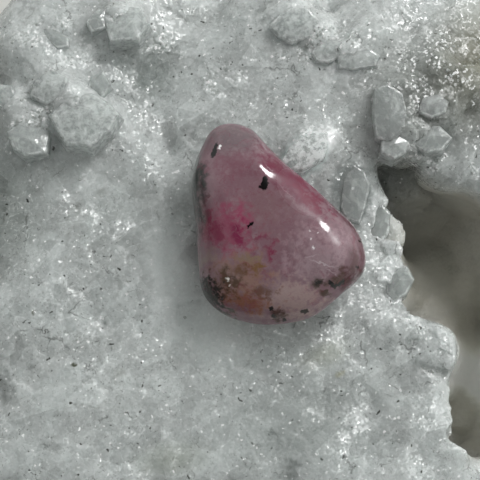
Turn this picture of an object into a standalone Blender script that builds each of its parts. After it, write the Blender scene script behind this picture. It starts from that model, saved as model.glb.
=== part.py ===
"""Rhodonite on quartz: a polished pebble lying on a bed of quartz crystals grown together.

Metres, +Z up. Sizes below are in millimetres, on axes that start in the middle of the bed's
underside: X runs to the right, Y away from the viewer and Z up from the flat cut underneath.
"""

import math
import random

import bmesh
import bpy
import numpy as np
from mathutils import Matrix, Vector, noise
from mathutils.bvhtree import BVHTree

MM = 0.001
SEED = 41

# The block that the crystals grow from
BLOCK_WEST, BLOCK_EAST = -36.5, 36.5
BLOCK_SOUTH, BLOCK_NORTH = -35.5, 35.5
BLOCK_TOP = 21.0
SHELF_TOP = 24.0
SHELF_HALF = 32.5
# The middle of the photographed patch, measured from the middle of the bed
PATCH_X, PATCH_Y = -1.6, -0.9

# Gentle rises and dips of the crystal tops over the shelf: x, y, reach, height
SWELLS = (
    (-29.5, 6.0, 5.6, -2.8),
    (-12.0, 22.0, 4.5, -1.8),
    (-24.0, 25.0, 9.0, 1.2),
    (9.0, 27.0, 9.0, 1.4),
    (21.0, 21.0, 10.0, 2.4),
    (34.0, 30.0, 9.0, 1.2),
    (-24.0, -10.0, 12.0, 0.5),
    (20.0, -15.0, 7.0, -0.5),
    (31.0, -31.0, 6.0, -1.8),
)

# The deep hollow beside the shelf, seen from above
HOLLOW_EDGE = (
    (16.8, 10.2), (18.2, 7.4), (17.6, 4.4), (16.7, 1.1), (20.2, 0.1), (21.2, -2.4),
    (21.2, -6.0), (20.4, -7.4), (21.6, -9.1), (26.2, -9.4), (28.4, -11.8), (27.5, -14.8),
    (26.0, -18.2), (26.7, -22.4), (25.6, -24.2), (29.7, -26.8), (33.6, -27.2), (34.4, -16.0),
    (34.2, -4.0), (33.8, 6.0), (27.5, 8.6), (24.2, 12.2), (18.0, 12.6),
)
HOLLOW_FLOOR = 6.0

# Points this close are one
WELD = 0.001

# How much each crystal narrows towards its top, so that no space between crystals is sealed in
TAPER = 0.14

# Crystals that stand out: x, y, top height, radius, lean east, lean north, turn, flat share
STANDING = {
    "west_clump": (
        (-15.2, 28.2, 28.4, 3.3, 4, -12, 30, 0.55),
        (-22.6, 18.6, 28.6, 2.5, -8, -6, 12, 0.45),
        (-19.9, 15.2, 29.0, 4.0, 3, -10, 22, 0.60),
        (-17.3, 17.2, 28.2, 2.8, 14, 5, 5, 0.40),
        (-26.9, 13.9, 27.4, 3.1, -6, -12, 40, 0.55),
        (-24.9, 21.6, 27.6, 2.7, -10, 10, 15, 0.45),
        (-29.6, 17.2, 27.6, 2.7, -12, -4, 50, 0.50),
        (-28.4, 25.2, 27.0, 3.2, -8, 6, 8, 0.50),
        (-21.6, 28.8, 26.8, 2.9, 5, 8, 35, 0.45),
    ),
    "north_clump": (
        (5.6, 29.2, 27.8, 3.4, -5, -8, 18, 0.60),
        (10.2, 26.4, 27.6, 2.7, 6, -12, 44, 0.50),
        (14.4, 23.0, 28.2, 2.8, 0, -14, 10, 0.50),
        (17.8, 26.8, 28.0, 3.2, 8, 4, 27, 0.45),
        (8.2, 21.4, 26.4, 2.5, -8, -10, 52, 0.50),
        (20.4, 18.8, 29.0, 3.5, 2, -8, 30, 0.55),
        (25.2, 22.6, 28.6, 3.0, 10, 6, 12, 0.50),
        (25.6, 16.4, 28.2, 3.2, 6, -10, 42, 0.50),
        (29.8, 19.8, 28.0, 3.1, 12, -4, 20, 0.45),
    ),
    "brink": (
        (20.9, 13.3, 28.0, 4.0, 2, -16, 0, 0.60),
        (22.6, 10.7, 26.6, 1.7, 8, -24, 20, 0.50),
        (19.6, 10.9, 26.4, 1.5, -8, -24, 50, 0.50),
        (16.9, 12.6, 26.2, 2.7, -6, -14, 33, 0.55),
        (26.4, 8.6, 24.6, 3.3, 4, -18, 12, 0.65),
        (31.6, 8.4, 26.2, 3.6, -4, -12, 42, 0.60),
        (8.3, 11.6, 27.0, 3.0, -4, -14, 25, 0.55),
        (11.2, 13.2, 26.8, 2.3, 10, -6, 8, 0.50),
        (14.9, 8.0, 25.6, 2.6, 4, -8, 30, 0.62),
        (18.2, 6.4, 23.6, 1.6, 10, -6, 10, 0.50),
        (18.8, 1.8, 21.6, 2.6, 10, -4, 0, 0.70),
    ),
    "east_lobes": (
        (24.9, -12.9, 23.6, 3.4, 8, 4, 14, 0.60),
        (23.4, -18.6, 23.8, 3.2, 8, 0, 38, 0.60),
        (24.4, -23.0, 23.4, 2.6, 10, -4, 5, 0.55),
        (18.6, -3.6, 24.2, 3.2, 6, 2, 25, 0.65),
        (18.4, -8.4, 24.0, 2.8, 8, 0, 48, 0.60),
        (28.4, -29.6, 21.8, 3.4, 8, 10, 20, 0.60),
    ),
    "far_wall": (
        (36.2, -26.0, 23.6, 3.2, 14, -6, 10, 0.50),
        (36.0, -20.2, 24.4, 2.8, 8, 4, 34, 0.45),
        (36.4, -14.4, 23.2, 3.2, 16, 2, 50, 0.55),
        (36.0, -8.4, 24.6, 2.9, 6, -5, 22, 0.45),
        (36.3, -2.4, 23.4, 3.3, 12, 6, 5, 0.50),
        (36.0, 3.6, 24.4, 2.9, 10, -3, 40, 0.50),
    ),
}

# The pebble, seen from above in the photographed patch, and its heights
PEBBLE_EDGE = (
    (-1.6, 13.9), (1.2, 13.3), (3.8, 10.6), (6.7, 7.6), (10.7, 4.0), (13.9, 1.0), (15.3, -2.4),
    (14.9, -5.0), (12.3, -7.5), (8.7, -10.2), (4.2, -11.1), (0.2, -10.7), (-2.8, -9.3),
    (-4.6, -7.0), (-5.1, -3.4), (-5.4, 0.9), (-6.0, 5.7), (-5.7, 8.2), (-4.7, 10.9), (-3.5, 13.0),
)
PEBBLE_MIDDLE = (3.6, 0.3)
PEBBLE_BELLY = 5.2
PEBBLE_DOME = 6.0
PEBBLE_BULGE = (9.5, -1.3, 4.2, 0.6)
PEBBLE_SEGMENTS, PEBBLE_RINGS = 36, 18
PEBBLE_GAP = 0.3

PINK = (0.24, 0.10, 0.13)
MILKY = (0.58, 0.62, 0.61)


def clear_scene():
    """Starts from an empty scene."""
    for obj in list(bpy.data.objects):
        bpy.data.objects.remove(obj, do_unlink=True)


def new_collection(name):
    collection = bpy.data.collections.new(name)
    bpy.context.scene.collection.children.link(collection)
    return collection


def principled(name, colour, roughness):
    """A plain material with the piece's own colour."""
    material = bpy.data.materials.new(name)
    material.use_nodes = True
    shader = material.node_tree.nodes["Principled BSDF"]
    shader.inputs["Base Color"].default_value = (*colour, 1)
    shader.inputs["Roughness"].default_value = roughness
    shader.inputs["Metallic"].default_value = 0
    return material


def add_object(name, bm, collection, material=None, helper=False):
    """Turns a mesh in millimetres into an object in metres. A helper is a shape that others join or cut with."""
    bmesh.ops.recalc_face_normals(bm, faces=bm.faces)
    bmesh.ops.scale(bm, vec=(MM, MM, MM), verts=bm.verts)
    mesh = bpy.data.meshes.new(name)
    bm.to_mesh(mesh)
    bm.free()
    if material:
        mesh.materials.append(material)
    obj = bpy.data.objects.new(name, mesh)
    collection.objects.link(obj)
    obj.hide_render = helper
    obj.display_type = "WIRE" if helper else "TEXTURED"
    return obj


def chop(bm, point, normal):
    """Breaks a convex body along a plane and keeps the side behind the normal."""
    cut = bmesh.ops.bisect_plane(
        bm, geom=[*bm.verts, *bm.edges, *bm.faces], plane_co=point, plane_no=normal, clear_outer=True
    )
    rim = [item for item in cut["geom_cut"] if isinstance(item, bmesh.types.BMEdge)]
    if rim:
        bmesh.ops.contextual_create(bm, geom=rim)


def lean_matrix(at, lean_east, lean_north, turn):
    """Places a crystal's top at a point, turned about its own axis and leaning, in degrees."""
    return (
        Matrix.Translation(at)
        @ Matrix.Rotation(math.radians(lean_east), 4, "Y")
        @ Matrix.Rotation(math.radians(-lean_north), 4, "X")
        @ Matrix.Rotation(math.radians(turn), 4, "Z")
    )


def crystal(rng, radius, depth, flat, slope=38):
    """A six-sided crystal with its top at the origin and its root below: uneven prism faces
    and a blunt cap, flat over a share of the radius."""
    bm = bmesh.new()
    bmesh.ops.create_cube(bm, size=1)
    bmesh.ops.scale(bm, vec=(3 * radius, 3 * radius, depth), verts=bm.verts)
    bmesh.ops.translate(bm, vec=(0, 0, -depth / 2), verts=bm.verts)
    for side in range(6):
        angle = math.radians(60 * side)
        out = Vector((math.cos(angle), math.sin(angle), 0))
        reach = 0.87 * radius * rng.uniform(0.84, 1.12)
        chop(bm, out * reach, out + Vector((0, 0, TAPER)))
        steep = math.radians(slope * rng.uniform(0.75, 1.3))
        face = out * math.sin(steep) + Vector((0, 0, math.cos(steep)))
        chop(bm, out * reach * flat * rng.uniform(0.8, 1.2), face)
    return bm


def rough_lump(rng, reach, faces=9):
    """A broken lump around the origin, with flat faces on all sides."""
    bm = bmesh.new()
    bmesh.ops.create_cube(bm, size=2.2 * reach)
    for _ in range(faces):
        out = Vector((rng.uniform(-1, 1), rng.uniform(-1, 1), rng.uniform(-0.7, 1))).normalized()
        chop(bm, out * reach * rng.uniform(0.72, 1.0), out)
    return bm


def inside(polygon, x, y):
    """Whether a point lies inside a flat outline."""
    hit = False
    for (ax, ay), (bx, by) in zip(polygon, polygon[1:] + polygon[:1]):
        if (ay > y) != (by > y) and x < ax + (y - ay) * (bx - ax) / (by - ay):
            hit = not hit
    return hit


def clearance(polygon, x, y):
    """The distance from a point to a flat outline."""
    here = Vector((x, y))
    nearest = math.inf
    for a, b in zip(polygon, polygon[1:] + polygon[:1]):
        start, along = Vector(a), Vector(b) - Vector(a)
        share = max(0, min(1, (here - start).dot(along) / along.length_squared))
        nearest = min(nearest, (here - start - along * share).length)
    return nearest


def crystal_top(x, y):
    """The height that the crystal tops reach at a place on the shelf."""
    height = SHELF_TOP
    for east, north, reach, rise in SWELLS:
        height += rise * math.exp(-((x - east) ** 2 + (y - north) ** 2) / reach**2)
    return height


def to_bed(x, y):
    """A place in the photographed patch, measured from the middle of the bed."""
    return x + PATCH_X, y + PATCH_Y


def make_block(rng, collection, material):
    """The massive quartz underneath: a broken block with slanting sides."""
    bm = bmesh.new()
    bmesh.ops.create_cube(bm, size=1)
    wide, deep = BLOCK_EAST - BLOCK_WEST, BLOCK_NORTH - BLOCK_SOUTH
    bmesh.ops.scale(bm, vec=(wide, deep, BLOCK_TOP), verts=bm.verts)
    bmesh.ops.translate(bm, vec=(0, 0, BLOCK_TOP / 2), verts=bm.verts)
    for step in range(16):
        angle = 2 * math.pi * (step + rng.uniform(-0.3, 0.3)) / 16
        out = Vector((math.cos(angle), math.sin(angle), rng.uniform(-0.35, 0.1))).normalized()
        corner = 1 + 0.30 * abs(math.sin(2 * angle))
        chop(bm, (out.x * 35.2 * corner, out.y * 34.4 * corner, rng.uniform(5, 12)), out)
    return add_object("quartz", bm, collection, material)


def grow_shelf(rng, collection):
    """Blunt crystals side by side over the whole top, their tops meeting in a mosaic."""
    pitch = 7.4
    count = 0
    for row in range(-6, 7):
        for column in range(-6, 7):
            x = (column + 0.5 * (row % 2)) * pitch + rng.uniform(-2, 2)
            y = row * pitch * 0.87 + rng.uniform(-2, 2)
            radius, flat = rng.uniform(4.8, 6.8), rng.uniform(0.55, 0.85)
            lean_east, lean_north = rng.gauss(0, 5), rng.gauss(0, 5)
            turn, lift = rng.uniform(0, 60), rng.uniform(-0.35, 0.35)
            if max(abs(x), abs(y)) > SHELF_HALF or abs(x) + abs(y) > 1.8 * SHELF_HALF:
                continue
            px, py = x - PATCH_X, y - PATCH_Y
            if inside(HOLLOW_EDGE, px, py) and clearance(HOLLOW_EDGE, px, py) > 1.5:
                continue
            bm = crystal(rng, radius, 9, flat, slope=15)
            at = Vector((x, y, crystal_top(px, py) + lift))
            bmesh.ops.transform(bm, matrix=lean_matrix(at, lean_east, lean_north, turn), verts=bm.verts)
            count += 1
            add_object(f"shelf_crystal_{count:03d}", bm, collection, helper=True)


def on_flank(angle, half, corner):
    """A place around the bed at a distance from its middle, square in plan with cut corners."""
    reach = half * min(1 / max(abs(math.cos(angle)), abs(math.sin(angle))), corner)
    return Vector((reach * math.cos(angle), reach * math.sin(angle), 0))


def grow_sides(rng, collection):
    """Broken lumps all around the flanks and leaning crystals along the upper rim."""
    lumps, leaners = 26, 30
    for step in range(lumps):
        angle = 2 * math.pi * (step + rng.uniform(-0.3, 0.3)) / lumps
        size = rng.uniform(4.5, 7.5)
        bm = rough_lump(rng, size)
        at = on_flank(angle, 36.2 - 0.8 * size, 1.27) + Vector((0, 0, rng.uniform(4, 15)))
        bmesh.ops.translate(bm, vec=at, verts=bm.verts)
        add_object(f"side_lump_{step:02d}", bm, collection, helper=True)
    for step in range(leaners):
        angle = 2 * math.pi * (step + rng.uniform(-0.3, 0.3)) / leaners
        away = rng.uniform(8, 34)
        bm = crystal(rng, rng.uniform(2.8, 4.6), 9, rng.uniform(0.35, 0.65))
        at = on_flank(angle, rng.uniform(33.0, 34.6), 1.28) + Vector((0, 0, rng.uniform(18.5, 23.5)))
        matrix = lean_matrix(at, away * math.cos(angle), away * math.sin(angle), rng.uniform(0, 60))
        bmesh.ops.transform(bm, matrix=matrix, verts=bm.verts)
        add_object(f"rim_crystal_{step:02d}", bm, collection, helper=True)


def hollow_cutter(collection):
    """The space of the deep hollow, from its floor to well over the crystals."""
    bm = bmesh.new()
    corners = [bm.verts.new((*to_bed(x, y), HOLLOW_FLOOR)) for x, y in HOLLOW_EDGE]
    floor = bm.faces.new(corners)
    raised = bmesh.ops.extrude_face_region(bm, geom=[floor])["geom"]
    tops = [item for item in raised if isinstance(item, bmesh.types.BMVert)]
    bmesh.ops.translate(bm, vec=(0, 0, 30), verts=tops)
    return add_object("hollow_cut", bm, collection, helper=True)


def bench_cutter(collection):
    """Everything under the flat cut that the bed rests on."""
    bm = bmesh.new()
    bmesh.ops.create_cube(bm, size=1)
    bmesh.ops.scale(bm, vec=(120, 120, 20), verts=bm.verts)
    bmesh.ops.translate(bm, vec=(0, 0, -10), verts=bm.verts)
    return add_object("bench_cut", bm, collection, helper=True)


def grow_hollow(rng, collection):
    """Broad crystals on the floor of the hollow and others that lean out of its walls."""
    count = 0
    for row in range(7):
        for column in range(4):
            x = 17.5 + 5.4 * column + rng.uniform(-1.4, 1.4)
            y = 9.0 - 6.0 * row + rng.uniform(-1.4, 1.4)
            radius, lift = rng.uniform(3.0, 5.2), rng.uniform(0.8, 3.6)
            lean_east, lean_north = rng.gauss(0, 14), rng.gauss(0, 14)
            turn = rng.uniform(0, 60)
            if not inside(HOLLOW_EDGE, x, y):
                continue
            bm = crystal(rng, radius, 6, rng.uniform(0.4, 0.7))
            at = Vector((*to_bed(x, y), HOLLOW_FLOOR + lift))
            bmesh.ops.transform(bm, matrix=lean_matrix(at, lean_east, lean_north, turn), verts=bm.verts)
            count += 1
            add_object(f"floor_crystal_{count:02d}", bm, collection, helper=True)
    edges = list(zip(HOLLOW_EDGE, HOLLOW_EDGE[1:] + HOLLOW_EDGE[:1]))
    for number, ((ax, ay), (bx, by)) in enumerate(edges):
        along = Vector((bx - ax, by - ay, 0))
        if along.length < 2.4:
            continue
        inward = Vector((-along.y, along.x, 0)).normalized()
        for share in [0.5] if along.length < 8 else [0.25, 0.75]:
            x, y = ax + share * along.x, ay + share * along.y
            height, away = rng.uniform(9.5, 15.0), rng.uniform(20, 45)
            bm = crystal(rng, rng.uniform(2.4, 3.8), 7, rng.uniform(0.4, 0.65))
            at = Vector((*to_bed(x, y), height)) + inward * rng.uniform(-0.5, 0.8)
            matrix = lean_matrix(at, away * inward.x, away * inward.y, rng.uniform(0, 60))
            bmesh.ops.transform(bm, matrix=matrix, verts=bm.verts)
            add_object(f"wall_crystal_{number:02d}_{round(100 * share)}", bm, collection, helper=True)


def grow_standing(rng, collection):
    """The larger crystals that stand over the shelf in clumps and along the brink of the hollow."""
    for clump, rows in STANDING.items():
        for number, (x, y, top, radius, lean_east, lean_north, turn, flat) in enumerate(rows):
            bm = crystal(rng, radius, top - 17, flat, slope=34)
            at = Vector((*to_bed(x, y), top))
            bmesh.ops.transform(bm, matrix=lean_matrix(at, lean_east, lean_north, turn), verts=bm.verts)
            add_object(f"{clump}_{number}", bm, collection, helper=True)


def boolean(obj, name, operation, operand):
    """Joins a whole collection to an object, or cuts one shape out of it."""
    modifier = obj.modifiers.new(name, "BOOLEAN")
    modifier.operation = operation
    modifier.solver = "EXACT"
    if isinstance(operand, bpy.types.Collection):
        modifier.operand_type = "COLLECTION"
        modifier.collection = operand
    else:
        modifier.object = operand


def fill_pockets(obj):
    """Makes the joined shape a plain mesh and keeps its outer skin, so that a pocket which the
    crystals closed over is solid."""
    graph = bpy.context.evaluated_depsgraph_get()
    joined = bpy.data.meshes.new_from_object(obj.evaluated_get(graph))
    obj.modifiers.clear()
    bm = bmesh.new()
    bm.from_mesh(joined)
    bmesh.ops.remove_doubles(bm, verts=bm.verts, dist=WELD * MM)
    skins, seen = [], set()
    for start in bm.verts:
        if start in seen:
            continue
        skin, waiting = set(), [start]
        while waiting:
            vert = waiting.pop()
            if vert not in skin:
                skin.add(vert)
                waiting.extend(edge.other_vert(vert) for edge in vert.link_edges)
        seen |= skin
        skins.append(skin)
    outer = max(skins, key=len)
    bmesh.ops.delete(bm, geom=[vert for vert in bm.verts if vert not in outer], context="VERTS")
    bm.to_mesh(joined)
    bm.free()
    obj.data = joined


def centre_on_base(obj):
    """Moves the bed so that the middle of its box is over the origin."""
    corners = [Vector(corner) for corner in obj.bound_box]
    middle = (corners[0] + corners[6]) / 2
    obj.data.transform(Matrix.Translation((-middle.x, -middle.y, 0)))
    return Vector((-middle.x, -middle.y, 0))


def make_quartz(collection, cutters):
    """The bed: block and shelf crystals, then the hollow, then what grew in and around it."""
    rng = random.Random(SEED)
    quartz = make_block(rng, collection, principled("quartz", MILKY, 0.25))
    shelf, later = new_collection("shelf_growth"), new_collection("hollow_growth")
    grow_shelf(rng, shelf)
    grow_sides(rng, shelf)
    grow_hollow(rng, later)
    grow_standing(rng, later)
    boolean(quartz, "shelf", "UNION", shelf)
    boolean(quartz, "hollow", "DIFFERENCE", hollow_cutter(cutters))
    boolean(quartz, "crystals", "UNION", later)
    boolean(quartz, "underside", "DIFFERENCE", bench_cutter(cutters))
    fill_pockets(quartz)
    return quartz, centre_on_base(quartz)


def closed_curve(points, steps):
    """Points along a smooth closed curve through the given ones."""
    curve = []
    total = len(points)
    for index in range(total):
        before, start, end, after = (np.array(points[(index + k) % total]) for k in (-1, 0, 1, 2))
        for step in range(steps):
            t = step / steps
            curve.append(
                0.5 * (2 * start + (end - before) * t + (2 * before - 5 * start + 4 * end - after) * t**2
                       + (3 * start - before - 3 * end + after) * t**3)
            )
    return np.array(curve)


def pebble_reach(angle):
    """How far the pebble's widest outline lies from its middle, in a direction."""
    curve = closed_curve(PEBBLE_EDGE, 12) - np.array(PEBBLE_MIDDLE)
    angles = np.arctan2(curve[:, 1], curve[:, 0])
    return float(np.interp(angle, angles, np.hypot(curve[:, 0], curve[:, 1]), period=2 * math.pi))


def pebble_point(direction):
    """A point of the pebble's skin for a direction from its middle: a broad dome with a
    sharper shoulder along its north-east slope, and a flatter belly."""
    angle = math.atan2(direction.y, direction.x)
    polar = math.acos(max(-1, min(1, abs(direction.z))))
    slope = max(0, math.cos(angle - math.radians(47))) ** 3
    if direction.z >= 0:
        broad, round_off, height = 2.3 + 2.2 * slope, 1.8 + 0.5 * slope, PEBBLE_DOME
    else:
        broad, round_off, height = 2.6, 2.0, -PEBBLE_BELLY
    out = math.sin(polar)
    level = (1 - out**broad) ** (1 / round_off)
    reach = pebble_reach(angle) * out
    x, y = PEBBLE_MIDDLE[0] + reach * math.cos(angle), PEBBLE_MIDDLE[1] + reach * math.sin(angle)
    z = height * level
    if direction.z > 0:
        east, north, wide, rise = PEBBLE_BULGE
        z += rise * level * math.exp(-((x - east) ** 2 + (y - north) ** 2) / wide**2)
        z -= 1.5 * level * max(0, (y - 3) / 11) ** 2
    z += 0.18 * noise.noise(Vector((x, y, z)) * 0.22)
    return Vector((*to_bed(x, y), z))


def make_pebble(collection, quartz, moved):
    """The polished pebble, let down onto the crystals until it all but touches them."""
    bm = bmesh.new()
    bmesh.ops.create_uvsphere(bm, u_segments=PEBBLE_SEGMENTS, v_segments=PEBBLE_RINGS, radius=1)
    for vert in bm.verts:
        vert.co = pebble_point(vert.co.normalized()) + moved / MM
    bed = BVHTree.FromObject(quartz, bpy.context.evaluated_depsgraph_get())
    over = 60.0
    drop = math.inf
    for vert in bm.verts:
        hit = bed.ray_cast(Vector((vert.co.x, vert.co.y, over)) * MM, Vector((0, 0, -1)))
        if hit[0]:
            drop = min(drop, vert.co.z - hit[0].z / MM)
    bmesh.ops.translate(bm, vec=(0, 0, PEBBLE_GAP - drop), verts=bm.verts)
    pebble = add_object("rhodonite", bm, collection, principled("rhodonite", PINK, 0.12))
    pebble.data.shade_smooth()
    return pebble


def main():
    clear_scene()
    pieces, cutters = new_collection("rhodonite_on_quartz"), new_collection("cutters")
    quartz, moved = make_quartz(pieces, cutters)
    make_pebble(pieces, quartz, moved)


main()
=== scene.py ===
"""A tumbled rhodonite pebble lying on a bed of milky quartz, dressed for its portrait.

The bed and the pebble keep the shapes and places of their solids. The bed gets the fine relief, the
large glassy crystals, the loose crust of small points and the cloudy stone of real quartz, and the
pebble its polish, its pink bands and its stains. Some light and shade is painted into the colours of
both: glints, lit rims and shaded dips on the bed, small highlights and shaded flanks on the pebble.
"""

import logging
import math
from collections.abc import Callable, Mapping, Sequence
from dataclasses import dataclass
from enum import Enum
from typing import Any

import bmesh
import bpy
import numpy as np
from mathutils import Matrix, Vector, noise
from mathutils.bvhtree import BVHTree


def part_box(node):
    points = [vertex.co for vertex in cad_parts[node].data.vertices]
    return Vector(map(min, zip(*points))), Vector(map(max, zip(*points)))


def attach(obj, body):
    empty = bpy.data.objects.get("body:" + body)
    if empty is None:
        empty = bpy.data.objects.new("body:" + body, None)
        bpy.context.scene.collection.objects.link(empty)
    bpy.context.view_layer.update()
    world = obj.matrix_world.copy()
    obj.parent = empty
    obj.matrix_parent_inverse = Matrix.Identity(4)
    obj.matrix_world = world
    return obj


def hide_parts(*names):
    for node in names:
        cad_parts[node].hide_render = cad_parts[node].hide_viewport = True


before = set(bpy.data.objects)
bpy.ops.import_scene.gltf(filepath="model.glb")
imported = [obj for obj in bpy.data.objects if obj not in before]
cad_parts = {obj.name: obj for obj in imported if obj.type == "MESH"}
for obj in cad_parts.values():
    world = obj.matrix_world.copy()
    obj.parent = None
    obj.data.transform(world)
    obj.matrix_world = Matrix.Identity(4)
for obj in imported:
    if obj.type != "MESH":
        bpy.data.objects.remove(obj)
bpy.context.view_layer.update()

MM = 0.001

Material, Mesh, Object = bpy.types.Material, bpy.types.Mesh, bpy.types.Object
Node, NodeTree, Socket = bpy.types.Node, bpy.types.NodeTree, bpy.types.NodeSocket

# Sockets of the colour mixing node, which has several of one name.
MIX_FACTOR, MIX_A, MIX_B, MIX_RESULT = 0, 6, 7, 2
RED, GREEN, BLUE = 0, 1, 2
HALF = (0.5, 0.5, 0.5)

# How much each stone bends light, and how far each colour goes in it.
QUARTZ_IOR, QUARTZ_TINT = 1.544, (1.0, 1.05, 1.03)
RHODONITE_IOR, RHODONITE_TINT = 1.6, (1.0, 0.62, 0.66)

# How far the finest unevenness of a face stands out, in metres.
BUMP_DEPTH = 0.0004

# A length in millimetres that goes through the whole object.
THROUGH = 1e4

# The way to the window from the stone.
WINDOW_WAY = (0.42, 0.56, 0.71)

# Nothing glitters below the first height, and everything may from the second length above it.
CRUST_FLOOR, CRUST_SPAN = 15.0, 4.0

log = logging.getLogger("rhodonite_on_quartz")


def linear(code: str) -> tuple[float, float, float, float]:
    """Turns an sRGB hex colour into the linear one that shaders take."""
    parts = (int(code[k : k + 2], 16) / 255 for k in (0, 2, 4))
    return (*(p / 12.92 if p <= 0.04045 else ((p + 0.055) / 1.055) ** 2.4 for p in parts), 1.0)


def feed(tree: NodeTree, node: Node, inputs: Mapping[str | int, Any]) -> Node:
    """Links sockets to a node's inputs and sets the plain values.

    Args:
        tree: the node's tree.
        node: the node.
        inputs: a value, or a socket to link from, for each input by name or number.

    Returns:
        The node.
    """
    for key, value in inputs.items():
        if isinstance(value, Socket):
            tree.links.new(value, node.inputs[key])
        else:
            node.inputs[key].default_value = value
    return node


def add(tree: NodeTree, kind: str, inputs: Mapping[str | int, Any] | None = None, **settings: Any) -> Node:
    """Adds a node with its settings and links.

    Args:
        tree: the tree it joins.
        kind: the node's type name.
        inputs: a value, or a socket to link from, for each input by name or number.
        settings: the node's own properties.

    Returns:
        The new node.
    """
    node = tree.nodes.new(kind)
    for name, value in settings.items():
        setattr(node, name, value)
    return feed(tree, node, inputs or {})


def object_from(name: str, data: bpy.types.ID) -> Object:
    """Puts a mesh, light or camera in the scene under a name.

    Args:
        name: the object's name.
        data: what it shows.

    Returns:
        The object, at the origin.
    """
    obj = bpy.data.objects.new(name, data)
    bpy.context.scene.collection.objects.link(obj)
    return obj


def applied(obj: Object) -> None:
    """Makes an object's modifiers part of its mesh and takes them off.

    Args:
        obj: the object.
    """
    seen = obj.evaluated_get(bpy.context.evaluated_depsgraph_get())
    mesh = bpy.data.meshes.new_from_object(seen)
    obj.modifiers.clear()
    obj.data = mesh


def read(items: Any, name: str, width: int = 1, kind: type = np.float64) -> np.ndarray:
    """Reads one property of all points, edges, corners or faces.

    Args:
        items: the mesh's list of them.
        name: the property.
        width: how many numbers it has.
        kind: what the numbers are.

    Returns:
        The values, with a row for each where they are wider than one number.
    """
    values = np.empty(len(items) * width, dtype=kind)
    items.foreach_get(name, values)
    return values.reshape(-1, width) if width > 1 else values


def come(values: np.ndarray, start: float, span: float) -> np.ndarray:
    """How far values have come along a stretch, 0 to 1. Its span is below zero where it leads down."""
    return np.clip((values - start) / span, 0, 1)


def table(kind: Callable[..., Any], *rows: tuple[Any, ...]) -> tuple[Any, ...]:
    """Makes one thing of a kind from each row of its fields' values."""
    return tuple(kind(*row) for row in rows)


@dataclass(frozen=True)
class Patch:
    """A soft-edged oval of the bed, seen from above, in millimetres."""

    east: float
    north: float
    half_length: float
    half_width: float
    turn: float = 0.0
    strength: float = 1.0

    def share(self, x: np.ndarray, y: np.ndarray) -> np.ndarray:
        """How much of the patch each point has.

        Args:
            x: easts in millimetres.
            y: norths in millimetres.

        Returns:
            The strength at the middle, falling smoothly to 0 at the rim.
        """
        turn = math.radians(self.turn)
        along = (x - self.east) * math.cos(turn) + (y - self.north) * math.sin(turn)
        across = (y - self.north) * math.cos(turn) - (x - self.east) * math.sin(turn)
        reach = np.clip(1 - np.hypot(along / self.half_length, across / self.half_width), 0, 1)
        return self.strength * reach**2 * (3 - 2 * reach)


def patches_share(patches: Sequence[Patch], x: np.ndarray, y: np.ndarray) -> np.ndarray:
    """The strongest share that any of the patches gives each point."""
    return np.max([patch.share(x, y) for patch in patches], axis=0)


@dataclass(frozen=True)
class Crystal:
    """A large crystal of the bed: where its top is, how long and wide, and how it stands.

    The turn is in degrees; the rise is above the bed and the tilts are slopes to the east and north.
    Frost is how white with flaws it is throughout, 0 to 1.
    """

    east: float
    north: float
    long: float
    wide: float
    turn: float = 0.0
    rise: float = 0.5
    tilt_east: float = 0.0
    tilt_north: float = 0.0
    sides: int = 6
    frost: float = 0.0


@dataclass(frozen=True)
class Oval:
    """A mark in the stone, or painted light or shade on it: an oval seen from above, in millimetres,
    which goes down through it.

    It is full as far out as the edge, a share of the way to the rim, and torn says how ragged it is.
    """

    east: float
    north: float
    half_length: float
    half_width: float
    turn: float
    colour: str
    strength: float = 1.0
    edge: float = 0.0
    torn: float = 1.0


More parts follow.
